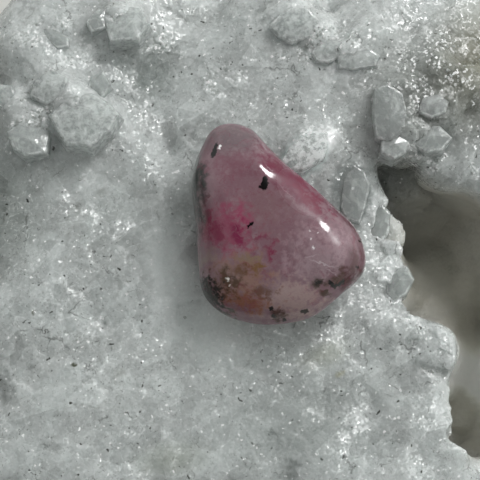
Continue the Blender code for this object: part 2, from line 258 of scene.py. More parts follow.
class Nodes:
    """A node tree being built. What its nodes take may be plain values or other nodes' sockets."""

    def __init__(self, tree: NodeTree) -> None:
        """Takes up a tree."""
        self.tree = tree

    def mix(self, share: Any, first: Any, second: Any, blend: str = "MIX") -> Socket:
        """Lays one colour over another.

        Args:
            share: how much of the second colour shows.
            first: the colour below, a socket or hex digits.
            second: the colour on top, likewise.
            blend: how the two are joined.

        Returns:
            The colour socket.
        """
        first, second = (linear(tint) if isinstance(tint, str) else tint for tint in (first, second))
        inputs = {MIX_FACTOR: share, MIX_A: first, MIX_B: second}
        return add(self.tree, "ShaderNodeMix", inputs, data_type="RGBA", blend_type=blend).outputs[MIX_RESULT]

    def ramp(self, value: Any, start: float, end: float, low: float = 0.0, high: float = 1.0) -> Socket:
        """Spreads a value smoothly from the range of start to end to that of low to high."""
        inputs = {"Value": value, "From Min": start, "From Max": end, "To Min": low, "To Max": high}
        return add(self.tree, "ShaderNodeMapRange", inputs, interpolation_type="SMOOTHSTEP").outputs["Result"]

    def reckon(self, operation: str, *values: Any) -> Socket:
        """Adds, multiplies or compares numbers."""
        return add(self.tree, "ShaderNodeMath", dict(enumerate(values)), operation=operation).outputs["Value"]

    def times(self, first: Any, second: Any) -> Socket:
        """Multiplies two numbers."""
        return self.reckon("MULTIPLY", first, second)

    def vector(self, operation: str, *values: Any, **named: Any) -> Socket:
        """Adds, scales or measures vectors.

        Args:
            operation: the sum to do.
            values: the vectors.
            named: inputs that are known by name.

        Returns:
            The vector socket, or the value socket of a measure.
        """
        inputs = dict(enumerate(values)) | named
        outputs = add(self.tree, "ShaderNodeVectorMath", inputs, operation=operation).outputs
        return outputs["Value" if operation in ("LENGTH", "DOT_PRODUCT") else "Vector"]

    def noise(
        self,
        place: Any,
        scale: float,
        detail: float,
        roughness: float = 0.5,
        distortion: float = 0.0,
        output: str = "Fac",
    ) -> Socket:
        """Cloudy noise, with how many clouds there are to a unit and how fine, rough and twisted they are."""
        inputs = {"Vector": place, "Scale": scale, "Detail": detail, "Roughness": roughness}
        return add(self.tree, "ShaderNodeTexNoise", inputs | {"Distortion": distortion}).outputs[output]

    def cells(self, place: Any, scale: float, feature: str = "F1") -> Mapping[str, Socket]:
        """A mosaic of uneven cells, so many to a unit: the distance and each cell's colour, by name."""
        inputs = {"Vector": place, "Scale": scale}
        return add(self.tree, "ShaderNodeTexVoronoi", inputs, feature=feature).outputs

    def channel(self, colour: Socket, number: int) -> Socket:
        """Takes one channel of a colour."""
        return add(self.tree, "ShaderNodeSeparateColor", {0: colour}).outputs[number]

    def grey(self, value: Socket) -> Socket:
        """Turns a value into a grey of that brightness."""
        inputs = dict.fromkeys((RED, GREEN, BLUE), value)
        return add(self.tree, "ShaderNodeCombineColor", inputs).outputs["Color"]


class Finish(Nodes):
    """A material being made. Its place is where a point of the object is, in millimetres."""

    def __init__(self, name: str) -> None:
        """Starts the material.

        Args:
            name: the real material and how it was made.
        """
        self.material = bpy.data.materials.new(name)
        self.material.use_nodes = True
        super().__init__(self.material.node_tree)
        metres = add(self.tree, "ShaderNodeTexCoord").outputs["Object"]
        self.place = self.vector("SCALE", metres, Scale=1 / MM)

    def attribute(self, name: str) -> Socket:
        """Reads a share that the surface carries."""
        return add(self.tree, "ShaderNodeAttribute", attribute_name=name).outputs["Fac"]

    def bent(self, scale: float, detail: float, roughness: float, by: float) -> Socket:
        """Moves the place about, which makes what is drawn there uneven."""
        warp = self.noise(self.place, scale, detail, roughness, output="Color")
        return self.vector("MULTIPLY_ADD", self.vector("SUBTRACT", warp, HALF), (by, by, by), self.place)

    def marked(self, marks: Sequence[Oval], place: Socket, colour: Any, ragged: Any = 0.0) -> Socket:
        """Lays marks over a colour, one after the other.

        Args:
            marks: the marks.
            place: where a point is, in millimetres.
            colour: the colour below them.
            ragged: what is added to the way to the rim, to break it up.

        Returns:
            The colour with the marks.
        """
        for mark in marks:
            inputs = {
                "Vector": place,
                "Location": (mark.east, mark.north, 0.0),
                "Rotation": (0.0, 0.0, math.radians(mark.turn)),
                "Scale": (mark.half_length, mark.half_width, THROUGH),
            }
            local = add(self.tree, "ShaderNodeMapping", inputs, vector_type="TEXTURE").outputs["Vector"]
            off = self.reckon("MULTIPLY_ADD", ragged, mark.torn, self.vector("LENGTH", local))
            colour = self.mix(self.ramp(off, mark.edge, 1.0, mark.strength, 0.0), colour, mark.colour)
        return colour

    def bump(self, height: Socket, strength: float, **normal: Socket) -> Socket:
        """Makes the surface finely uneven, from its own normal or from the one given."""
        inputs = {"Strength": strength, "Distance": BUMP_DEPTH, "Height": height} | normal
        return add(self.tree, "ShaderNodeBump", inputs).outputs["Normal"]

    def done(self, inputs: Mapping[str, Any]) -> Material:
        """Gives the shader all it needs."""
        feed(self.tree, self.tree.nodes["Principled BSDF"], inputs)
        return self.material


def inside(ior: float, tint: Sequence[float], share: float, depth: float) -> dict[str, Any]:
    """The shader's inputs for light inside a stone, whose depth is in metres."""
    glow = {"Subsurface Weight": share, "Subsurface Radius": tint, "Subsurface Scale": depth}
    return {"IOR": ior, **glow}


class Light(Enum):
    """The studio's lights: their side in metres, brightness in watts and direction."""

    WINDOW = (0.074, 0.36, WINDOW_WAY)


@dataclass(frozen=True)
class MilkyQuartz:
    """Milky quartz, as it grew: cloudy white-grey stone with countless tiny crystal faces.

    The cloud inside scatters light, so edges and thin parts glow and shadows are soft. The faces
    are glassy, so those that happen to lean towards the window flash. The blocks are the sizes of
    crystals that lie together, with how far their faces lean and how unlike their shades are. Glints,
    light on rims and joints, and shade in dips and crevices are painted into its colour.
    """

    clear: str = "B8BBBA"
    cloudy: str = "C7CBCA"
    dim_and_shade: str = "989D9A"
    cavern: str = "D0CDC4"
    pale_and_highlight: str = "EDF1F0"
    glint_white: str = "FFFFFF"
    depth: str = "8E928C"
    dirt: str = "33342D"
    crevice_shade: str = "8E8A7C"
    glow_share: float = 0.85
    glow_depth: float = 0.0032
    large_face: float = 0.8
    small_face: float = 0.30
    blocks: Sequence[tuple[float, float, float]] = ((4.6, 0.20, 0.16), (1.7, 0.24, 0.14))

    def faces(self, t: Finish, size: float, lean: Any) -> tuple[Socket, Socket]:
        """A mosaic of crystal faces so wide: how each leans, for the normal, and its random colour."""
        pick = t.cells(t.place, 1 / size)["Color"]
        return t.vector("SCALE", t.vector("SUBTRACT", pick, HALF), Scale=lean), pick

    def build(self, tones_and_painted_light: Sequence[Oval], hollow: Sequence[Oval]) -> Material:
        """Makes the bed's material.

        Args:
            tones_and_painted_light: the marks that lie on the bed, among them painted light and shade.
            hollow: blocks of shade that show through one another in the hollow, and painted light there.

        Returns:
            The material.
        """
        t = Finish("milky quartz, natural crystal faces")
        place = t.place
        druse, shaded_dip, cavern, crevice, rim = map(t.attribute, ("druse", "shaded_dip", "cavern", "crevice", "rim"))

        # Clouds and veils, a few millimetres wide, as fluid inclusions make them.
        fine = t.noise(place, 1.9, 4.0, 0.7)
        colour = t.mix(t.ramp(t.noise(place, 0.16, 5.0, 0.6, 0.5), 0.36, 0.64), self.clear, self.cloudy)
        colour = t.mix(t.ramp(fine, 0.52, 0.72, 0.0, 0.13), colour, self.pale_and_highlight)
        colour = t.mix(t.ramp(fine, 0.46, 0.30, 0.0, 0.18), colour, self.dim_and_shade)
        # The crust is whiter. Painted light and shade: rims that stand out are painted lighter, and dips and
        # crevices painted darker, as the shade that lies in them.
        for share, most, tint in (
            (druse, 0.42, self.pale_and_highlight),
            (rim, 0.45, self.pale_and_highlight),
            (shaded_dip, 0.8, self.dim_and_shade),
            (crevice, 0.12, self.crevice_shade),
        ):
            colour = t.mix(t.times(share, most), colour, tint)

        # The crystals lie together like blocks of ice: each shows its own tone, and the joints between them
        # are painted as thin bright lines of light.
        calm = t.ramp(cavern, 0.0, 0.6, 1.0, 0.8)
        leans = []
        for size, lean, shade in self.blocks:
            leaned, pick = self.faces(t, size, t.times(calm, lean))
            leans.append(leaned)
            tone = t.reckon("SUBTRACT", t.channel(pick, BLUE), 0.5)
            tone = t.reckon("MULTIPLY_ADD", tone, t.times(calm, shade), 1.0)
            colour = t.mix(1.0, colour, t.grey(tone), "MULTIPLY")
            joint = t.cells(place, 1 / size, "DISTANCE_TO_EDGE")["Distance"]
            joint_light = t.times(t.ramp(joint, 0.10 / size, 0.03 / size, 0.0, 0.35), t.ramp(fine, 0.46, 0.62))
            colour = t.mix(t.times(joint_light, calm), colour, self.pale_and_highlight)

        # Specks of dirt a tenth of a millimetre wide, and hairline cracks that hold dirt.
        bent = t.vector("MULTIPLY_ADD", t.noise(place, 0.9, 3.0, output="Color"), (1.6, 1.6, 1.6), place)
        spots = t.cells(bent, 0.8)
        chosen = t.ramp(t.channel(spots["Color"], RED), 0.62, 0.66)
        spot = t.times(t.ramp(spots["Distance"], 0.16, 0.10, 0.0, 0.95), chosen)
        where = t.noise(place, 0.35, 2.0)
        crack = t.ramp(t.cells(bent, 0.16, "DISTANCE_TO_EDGE")["Distance"], 0.020, 0.007, 0.0, 0.45)
        crack = t.times(crack, t.ramp(where, 0.56, 0.64))
        # Short scratches and strands of dirt lie in patches.
        strand = t.reckon("ABSOLUTE", t.reckon("SUBTRACT", t.noise(place, 1.1, 2.0, 0.5, 1.6), 0.5))
        strand = t.ramp(strand, 0.016, 0.005, 0.0, 0.62)
        strand = t.times(strand, t.ramp(t.noise(place, 2.1, 1.0), 0.50, 0.55))
        strand = t.times(strand, t.ramp(where, 0.38, 0.48))
        for share in (spot, crack, strand):
            colour = t.mix(share, colour, self.dirt)
        colour = t.marked(tones_and_painted_light, bent, colour)

        # Painted glints and glitter: some grains of the crust, and a few over the whole bed, are painted
        # white, and other grains of the crust painted darker, so that the crust glitters.
        chance = t.channel(t.cells(place, 1 / self.small_face)["Color"], RED)
        crust_glints = t.times(druse, t.ramp(chance, 0.84, 0.88))
        stray_glints = t.times(t.ramp(chance, 0.970, 0.975), t.ramp(fine, 0.48, 0.58))
        colour = t.mix(t.reckon("MAXIMUM", crust_glints, stray_glints), colour, self.glint_white)
        colour = t.mix(t.times(druse, t.ramp(chance, 0.24, 0.18, 0.0, 0.45)), colour, self.depth)
        colour = t.mix(cavern, colour, t.marked(hollow, bent, self.cavern))

        # Crystal faces of two sizes. Those of the crust lean much, those of the shelf hardly.
        for size, least, most in ((self.large_face, 0.14, 0.40), (self.small_face, 0.30, 0.9)):
            leaned, pick = self.faces(t, size, t.times(t.ramp(druse, 0.0, 1.0, least, most), calm))
            leans.append(leaned)
        normal = add(t.tree, "ShaderNodeNewGeometry").outputs["Normal"]
        for leaned in leans:
            normal = t.vector("ADD", normal, leaned)
        gloss = t.ramp(t.channel(pick, GREEN), 0.3, 0.9, 0.28, 0.10)
        looks = {
            "Base Color": colour,
            "Normal": t.bump(t.noise(place, 1.3, 4.0), 0.25, Normal=t.vector("NORMALIZE", normal)),
            "Roughness": t.reckon("MAXIMUM", gloss, t.times(cavern, 0.55)),
        }
        return t.done(looks | inside(QUARTZ_IOR, QUARTZ_TINT, self.glow_share, self.glow_depth))


@dataclass(frozen=True)
class ClearQuartz:
    """Clear quartz of the small points in the crust: glass-bright faces over see-through stone."""

    body: str = "D0D5D1"
    cloud: str = "BEC3BF"
    roughness: float = 0.05
    clearness: float = 0.12
    glow_share: float = 0.6
    glow_depth: float = 0.0014

    def build(self) -> Material:
        """Makes the points' material, with feathers of cloud about half a millimetre wide.

        Returns:
            The material.
        """
        t = Finish("clear quartz, natural points")
        cloud = t.noise(t.place, 0.8, 3.0)
        looks = {
            "Base Color": t.mix(t.ramp(cloud, 0.4, 0.65), self.body, self.cloud),
            "Transmission Weight": t.ramp(cloud, 0.35, 0.65, self.clearness, 0.0),
            "Roughness": t.ramp(cloud, 0.35, 0.65, self.roughness, 0.18),
        }
        return t.done(looks | inside(QUARTZ_IOR, QUARTZ_TINT, self.glow_share, self.glow_depth))


@dataclass(frozen=True)
class GlassyQuartz:
    """Rock crystal in thick blocks, as it grew: glassy faces, cloud inside and painted light on broken rims.
    """

    body: str = "E6EBE9"
    cloud: str = "B8BCBA"
    flaw_and_rim_light: str = "F4F8F7"
    clearness: float = 0.70
    glow_share: float = 0.7
    glow_depth: float = 0.0016

    def build(self) -> Material:
        """Makes the large crystals' material.

        Returns:
            The material.
        """
        t = Finish("rock crystal, glassy natural faces")
        veils = t.noise(t.place, 0.5, 5.0, 0.65, 1.2)
        colour = t.mix(t.ramp(veils, 0.42, 0.62), self.body, self.cloud)
        # White flaws less than half a millimetre wide, and painted light along rims broken here and there.
        flaw = t.ramp(t.channel(t.cells(t.place, 2.6)["Color"], RED), 0.94, 0.97, 0.0, 0.8)
        broken = t.ramp(t.noise(t.place, 1.4, 4.0, 0.7), 0.36, 0.60, 0.15, 1.0)
        rim = t.times(t.attribute("rim"), broken)
        clear = t.ramp(veils, 0.66, 0.44, 0.15, self.clearness)
        looks = {
            "Base Color": t.mix(t.reckon("MAXIMUM", rim, flaw), colour, self.flaw_and_rim_light),
            "Transmission Weight": t.times(clear, t.ramp(rim, 0.0, 1.0, 1.0, 0.3)),
            "Normal": t.bump(t.noise(t.place, 0.9, 3.0), 0.3),
            "Roughness": t.ramp(veils, 0.35, 0.65, 0.07, 0.16),
        }
        return t.done(looks | inside(QUARTZ_IOR, QUARTZ_TINT, self.glow_share, self.glow_depth))


@dataclass(frozen=True)
class PolishedRhodonite:
    """Rhodonite, tumbled to a wet-looking polish: mauve stone with pink bands and clear depth.

    Light goes about half a millimetre into it, and the polish mirrors the window in highlights.
    """

    body: str = "7F6069"
    pale: str = "8A7077"
    rose: str = "7A2E45"
    white: str = "8E757B"
    glow_share: float = 0.35
    glow_depth: float = 0.0005
    polish: float = 0.06

    def build(self, tones_and_painted_light: Sequence[Oval], marks_and_highlights: Sequence[Oval], dull: Sequence[Oval]) -> Material:
        """Makes the pebble's material.

        Args:
            tones_and_painted_light: soft zones of colour, from the widest to the smallest, some painted
                shade.
            marks_and_highlights: black specks and strokes, and painted highlights, laid on last and nearly
                unbent.
            dull: places where the polish took less well, their greys being the roughness.

        Returns:
            The material.
        """
        t = Finish("rhodonite, tumbled and polished")
        place = t.place

        # The zones' rims are bent by up to a millimetre, and those of the specks by a quarter.
        bent, jagged = t.bent(0.55, 4.0, 0.6, 2.8), t.bent(2.6, 3.0, 0.5, 0.7)
        torn = t.ramp(t.noise(place, 1.1, 4.0, 0.6), 0.25, 0.75, -0.45, 0.45)
        colour = t.mix(t.ramp(t.noise(bent, 0.30, 5.0, 0.6, 0.8), 0.40, 0.68), self.body, self.pale)
        colour = t.marked(tones_and_painted_light, bent, colour, torn)

        # Wisps of rose and of white under the polish, and grains a quarter of a millimetre wide.
        wisps = t.noise(bent, 0.6, 6.0, 0.66, 1.5)
        colour = t.mix(t.ramp(wisps, 0.52, 0.68, 0.0, 0.32), colour, self.white)
        colour = t.mix(t.ramp(wisps, 0.47, 0.33, 0.0, 0.36), colour, self.rose)
        grain = t.ramp(t.noise(place, 3.4, 3.0, 0.7), 0.3, 0.7, 0.96, 1.04)
        colour = t.mix(1.0, colour, t.grey(grain), "MULTIPLY")

        # Tumbling leaves the skin slightly wavy, pitted, and a little duller where the stone is soft.
        pit = t.ramp(t.cells(jagged, 1.1)["Distance"], 0.10, 0.0, 0.0, -0.5)
        gloss = t.grey(t.ramp(wisps, 0.3, 0.7, self.polish, self.polish + 0.04))
        looks = {
            "Base Color": t.marked(marks_and_highlights, jagged, colour),
            "Normal": t.bump(t.reckon("ADD", t.noise(place, 0.7, 2.0), pit), 0.07),
            "Roughness": t.marked(dull, place, gloss),
        }
        return t.done(looks | inside(RHODONITE_IOR, RHODONITE_TINT, self.glow_share, self.glow_depth))


@dataclass(frozen=True)
class MattPaper:
    """White backdrop paper, matt and faintly fibrous."""

    white: str = "DAD9D5"
    fibre: str = "E4E3DF"
    roughness: float = 0.85

    def build(self) -> Material:
        """Makes the floor's material.

        Returns:
            The material.
        """
        t = Finish("backdrop paper, matt")
        colour = t.mix(t.noise(t.place, 0.9, 3.0), self.white, self.fibre)
        return t.done({"Base Color": colour, "Roughness": self.roughness})


@dataclass
class QuartzBed:
    """The bed of milky quartz: its solid with a fine crystal relief, and softer where it is worn."""

    solid: Object
    tones_and_painted_light: Sequence[Oval]
    hollow: Sequence[Oval]
    crust: Sequence[Patch]
    shaded_dips: Sequence[Patch]
    clumps: Sequence[Patch]
    cavern: Sequence[Patch]
    under_pebble: Patch
    skin_step: float = 0.37
    melt_rounds: int = 6
    melt_pace: float = 0.6
    level_rounds: int = 200
    level_share: float = 0.92
    steepness: float = 2.2
    plate: float = 3.4
    plate_lift: float = 0.10
    grain: float = 1.15
    grain_lift: float = 0.07
    crystal: float = 2.9
    crystal_lift: float = 0.25
    swell_lift: float = 0.10
    spark_lift: float = 0.015
    dip_depth: float = 0.5
    base_band: float = 2.0
    view_middle: tuple[float, float] = (-2.3, -1.2)
    view_half: float = 33.0
    triangles: int = 185_000

    def skin(self) -> Object:
        """Copies the solid, joins its loose triangles and lays an even mesh over it.

        Returns:
            The object with the even mesh.
        """
        mesh = self.solid.data.copy()
        bm = bmesh.new()
        bm.from_mesh(mesh)
        bmesh.ops.remove_doubles(bm, verts=bm.verts, dist=0.01 * MM)
        bmesh.ops.recalc_face_normals(bm, faces=bm.faces)
        bm.to_mesh(mesh)
        bm.free()
        mesh.materials.clear()
        obj = object_from("quartz_bed", mesh)
        skin = obj.modifiers.new("even skin", "REMESH")
        skin.mode = "VOXEL"
        skin.voxel_size = self.skin_step * MM
        applied(obj)
        return obj

    def melt(self, points: np.ndarray, edges: np.ndarray, share: np.ndarray, rounds: int) -> np.ndarray:
        """Rounds the surface, as overgrowth does, by moving points towards their neighbours.

        Args:
            points: the skin's points.
            edges: pairs of neighbours.
            share: how far each point may follow, 0 to 1.
            rounds: how often it is done.

        Returns:
            The moved points.
        """
        count = len(points)
        own, other = np.concatenate([edges, edges[:, ::-1]]).T
        degree = np.maximum(np.bincount(own, minlength=count), 1)[:, None]
        for _ in range(rounds):
            sums = [np.bincount(own, weights=points[other, k], minlength=count) for k in range(3)]
            points = points + share[:, None] * self.melt_pace * (np.stack(sums, axis=1) / degree - points)
        return points

    def faceted(self, points: np.ndarray, size: float, seed: float) -> np.ndarray:
        """The height of flat plates, each tilted its own way, that together tile the surface.

        Args:
            points: places in millimetres.
            size: how wide a plate is.
            seed: moves the pattern.

        Returns:
            A height for each point, about -1 to 1.
        """
        heights = np.empty(len(points))
        for index, point in enumerate(points):
            spot = Vector(point) / size + Vector((seed, seed * 0.7, seed * 1.3))
            _, centres = noise.voronoi(spot)
            own = centres[0] * 7.31
            tilt = noise.cell_vector(own) - Vector(HALF)
            step = noise.cell(own + Vector((3.7, 1.1, 5.3)))
            heights[index] = self.steepness * tilt.dot(spot - centres[0]) + step - 0.5
        return heights

    def clumped(self, points: np.ndarray) -> np.ndarray:
        """Where the raised clumps are."""
        return np.clip(2.4 * patches_share(self.clumps, points[:, 0], points[:, 1]), 0, 1)

    def relief(self, points: np.ndarray, normals: np.ndarray) -> tuple[np.ndarray, dict[str, np.ndarray]]:
        """Raises the fine relief and works out where the crust, dips and hollow lie.

        Args:
            points: the skin's points in millimetres.
            normals: the way each faces.

        Returns:
            The points with the relief, and the named shares.
        """
        x, y, z = points.T
        patchy = np.array([noise.noise(Vector(p) * 0.42 + Vector((9.0, 2.0, 5.0))) for p in points])
        high = come(z, CRUST_FLOOR, CRUST_SPAN)
        crust = np.clip(patches_share(self.crust, x, y) * high * (0.45 + 2.6 * patchy), 0, 1)
        clump = self.clumped(points)
        cavern = np.clip(patches_share(self.cavern, x, y), 0, 1) * come(z, 23.5, -4.0)
        shaded_dip = patches_share(self.shaded_dips, x, y)
        free = 1 - np.clip(self.under_pebble.share(x, y) * 1.6, 0, 1)
        side = come(z, 18.0, -6.0)
        open_air = 1 - 0.8 * cavern
        lift = self.plate_lift * self.faceted(points, self.plate, 4.0) * (1 - 0.8 * clump) * open_air
        rough = np.clip(0.15 + 0.85 * crust, 0, 1) * open_air
        lift += self.grain_lift * self.faceted(points, self.grain, 11.0) * rough
        lift += self.crystal_lift * self.faceted(points, self.crystal, 23.0) * clump * (1 - side)
        lift += self.swell_lift * np.array([noise.noise(Vector(p) * 0.35) for p in points])
        lift += self.spark_lift * np.random.default_rng(5).uniform(-1, 1, len(points)) * crust
        lift -= self.dip_depth * shaded_dip * (1 - side)
        lift = np.where(lift > 0, lift * free, lift)
        moved = points + normals * (lift * come(z, 0.6, self.base_band))[:, None]
        druse = np.clip(0.06 * high + crust, 0, 1)
        return moved, {"druse": druse, "shaded_dip": shaded_dip, "cavern": cavern, "clump": clump}

    def build(self) -> Object:
        """Makes the bed.

        Returns:
            The finished piece, with its shares as attributes.
        """
        obj = self.skin()
        mesh = obj.data
        points = read(mesh.vertices, "co", 3) / MM
        edges = read(mesh.edges, "vertices", 2, np.int64)
        low, high = points.min(0), points.max(0)

        # The shelf and the hollow are worn soft, and the clumps keep their shape.
        inner = np.clip(patches_share(self.cavern, points[:, 0], points[:, 1]), 0, 1)
        share = np.maximum(come(points[:, 2], 14.0, 4.0), inner) * (1 - self.clumped(points))
        points = self.melt(points, edges, share, self.melt_rounds)
        level = self.melt(points, edges, share, self.level_rounds)
        worn = self.level_share + (1 - self.level_share) * inner
        points = points + worn[:, None] * share[:, None] * (level - points)
        mesh.vertices.foreach_set("co", (points * MM).ravel())
        mesh.update()
        normals = read(mesh.vertices, "normal", 3)
        points, shares = self.relief(points, normals)
        points = np.clip(points, low, high)

        # Rims stand out of a smoothed copy of the surface, and crevices lie within it: the material paints
        # light on the rims and shade in the crevices.
        smooth = self.melt(points, edges, np.ones(len(points)), 6)
        outward = np.einsum("ij,ij->i", points - smooth, normals)
        shares["crevice"] = np.clip(-outward / 0.22, 0, 1)
        shares["rim"] = np.clip(outward / 0.16, 0, 1)
        mesh.vertices.foreach_set("co", (points * MM).ravel())
        for name, values in shares.items():
            layer = mesh.attributes.new(name, "FLOAT", "POINT")
            layer.data.foreach_set("value", values.astype(np.float32))
        away = np.abs(points[:, :2] - np.array(self.view_middle)).max(axis=1) - self.view_half
        self.thin(obj, np.clip(away, 0, 1) + come(points[:, 2], 10.0, -3.0))
        obj.data.materials.append(MilkyQuartz().build(self.tones_and_painted_light, self.hollow))
        self.cut_faces(obj.data)
        return obj

    def cut_faces(self, mesh: Mesh) -> None:
        """Leaves the crystals' faces flat and the worn shelf smooth.

        Args:
            mesh: the bed's mesh.
        """
        shares = (mesh.attributes[name].data for name in ("druse", "clump"))
        druse, clump = (read(share, "value", 1, np.float32) for share in shares)
        flat = np.maximum(druse - 0.1, clump - 0.3)
        corners = read(mesh.loops, "vertex_index", 1, np.int64)
        starts = read(mesh.polygons, "loop_start", 1, np.int64)
        mesh.polygons.foreach_set("use_smooth", flat[corners[starts]] < 0.12)
        mesh.update()

    def thin(self, obj: Object, spare: np.ndarray) -> None:
        """Takes triangles out of the flanks and the underside until the piece is light enough.

        Args:
            obj: the bed.
            spare: how freely each point may go.
        """
        group = obj.vertex_groups.new(name="spare")
        steps = 4
        for step in range(1, steps + 1):
            level = step / steps
            chosen = (spare > level - 1 / steps) & (spare <= level) | ((step == steps) & (spare > 1))
            group.add(np.flatnonzero(chosen).tolist(), level, "REPLACE")
        total = sum(len(face.vertices) - 2 for face in obj.data.polygons)
        if total <= self.triangles:
            return
        thinning = obj.modifiers.new("thinning", "DECIMATE")
        thinning.ratio = self.triangles / total
        thinning.vertex_group = group.name
        thinning.vertex_group_factor = 4.0
        applied(obj)
        obj.vertex_groups.clear()


@dataclass
class LargeCrystals:
    """The large glassy crystals that stand a little out of the bed, with painted light on broken rims."""

    crystals: Sequence[Crystal]
    depth: float = 3.2
    flare: float = 1.12
    chamfer: float = 0.26
    rim_width: float = 0.20
    point_rise: float = 0.10
    point_stray: float = 0.14
    unevenness: float = 0.13
    seed: int = 17

    def outline(self, crystal: Crystal, chance: np.random.Generator) -> list[tuple[float, float]]:
        """Draws a crystal's uneven outline.

        Args:
            crystal: the crystal.
            chance: where the unevenness comes from.

        Returns:
            The corners' easts and norths from its middle, in millimetres.
        """
        turn = math.radians(crystal.turn)
        corners = []
        for side in range(crystal.sides):
            angle = 2 * math.pi * (side + chance.uniform(-0.2, 0.2)) / crystal.sides
            reach = 1 + chance.uniform(-self.unevenness, self.unevenness)
            across = crystal.long / 2 * reach * math.cos(angle)
            along = crystal.wide / 2 * reach * math.sin(angle)
            east = across * math.cos(turn) - along * math.sin(turn)
            corners.append((east, across * math.sin(turn) + along * math.cos(turn)))
        return corners

    def top(self, crystal: Crystal, corners: Sequence[tuple[float, float]], ground: BVHTree) -> float:
        """Finds how high a crystal stands, from the bed's height at several places below it.

        Args:
            crystal: the crystal.
            corners: its outline.
            ground: the bed.

        Returns:
            The height of its top face's middle, in millimetres.
        """
        heights = []
        for east, north in corners:
            over = Vector((crystal.east + 0.6 * east, crystal.north + 0.6 * north, 60.0)) * MM
            hit = ground.ray_cast(over, Vector((0.0, 0.0, -1.0)))[0]
            if hit is not None:
                heights.append(hit.z / MM)
        return 0.4 * float(np.mean(heights)) + 0.6 * max(heights) + crystal.rise

    def build(self, bed: Object) -> Object:
        """Makes the crystals and sets them on the bed.

        Args:
            bed: the finished bed.

        Returns:
            The finished piece.
        """
        ground = BVHTree.FromObject(bed, bpy.context.evaluated_depsgraph_get())
        bm = bmesh.new()
        rim = bm.verts.layers.float.new("rim")
        chance = np.random.default_rng(self.seed)
        # Each ring's width beside the outline, its inset, its depth below the top and its painted rim light.
        shape = (
            (self.flare, 0.0, self.depth, 0.0),
            (1.0, 0.0, self.chamfer, 0.2),
            (1.0, self.chamfer, 0.0, 0.9),
            (1.0, self.chamfer + self.rim_width, -0.2 * self.chamfer, 0.0),
        )
        for crystal in self.crystals:
            corners = self.outline(crystal, chance)
            top = self.top(crystal, corners, ground)
            rings = []
            for scale, inset, drop, white in shape:
                rings.append([])
                for across, along in corners:
                    reach = math.hypot(across, along)
                    factor = scale * (reach - inset) / reach
                    east, north = across * factor, along * factor
                    height = top + crystal.tilt_east * east + crystal.tilt_north * north - drop
                    vert = bm.verts.new((crystal.east + east, crystal.north + north, height))
                    # Painted light: the rims away from the window are painted the whitest; frost is the
                    # crystal's own white.
                    far_from_window = 0.65 + 0.35 * math.copysign(1.0, crystal.north - vert.co.y)
                    vert[rim] = max(white * far_from_window, crystal.frost)
                    rings[-1].append(vert)
            stray = [self.point_stray * crystal.wide * chance.uniform(-1, 1) for _ in range(2)]
            rise = self.point_rise * min(crystal.long, crystal.wide)
            peak = bm.verts.new((crystal.east + stray[0], crystal.north + stray[1], top + rise))
            peak[rim] = crystal.frost
            pairs = [(index, (index + 1) % crystal.sides) for index in range(crystal.sides)]
            for lower, upper in zip(rings, rings[1:]):
                for one, other in pairs:
                    bm.faces.new((lower[one], lower[other], upper[other], upper[one]))
            for one, other in pairs:
                bm.faces.new((rings[-1][one], rings[-1][other], peak))
            bm.faces.new(list(reversed(rings[0])))
        bmesh.ops.recalc_face_normals(bm, faces=bm.faces)
        bmesh.ops.scale(bm, vec=(MM, MM, MM), verts=bm.verts)
        mesh = bpy.data.meshes.new("quartz_crystals")
        bm.to_mesh(mesh)
        bm.free()
        mesh.materials.append(GlassyQuartz().build())
        return object_from("quartz_crystals", mesh)


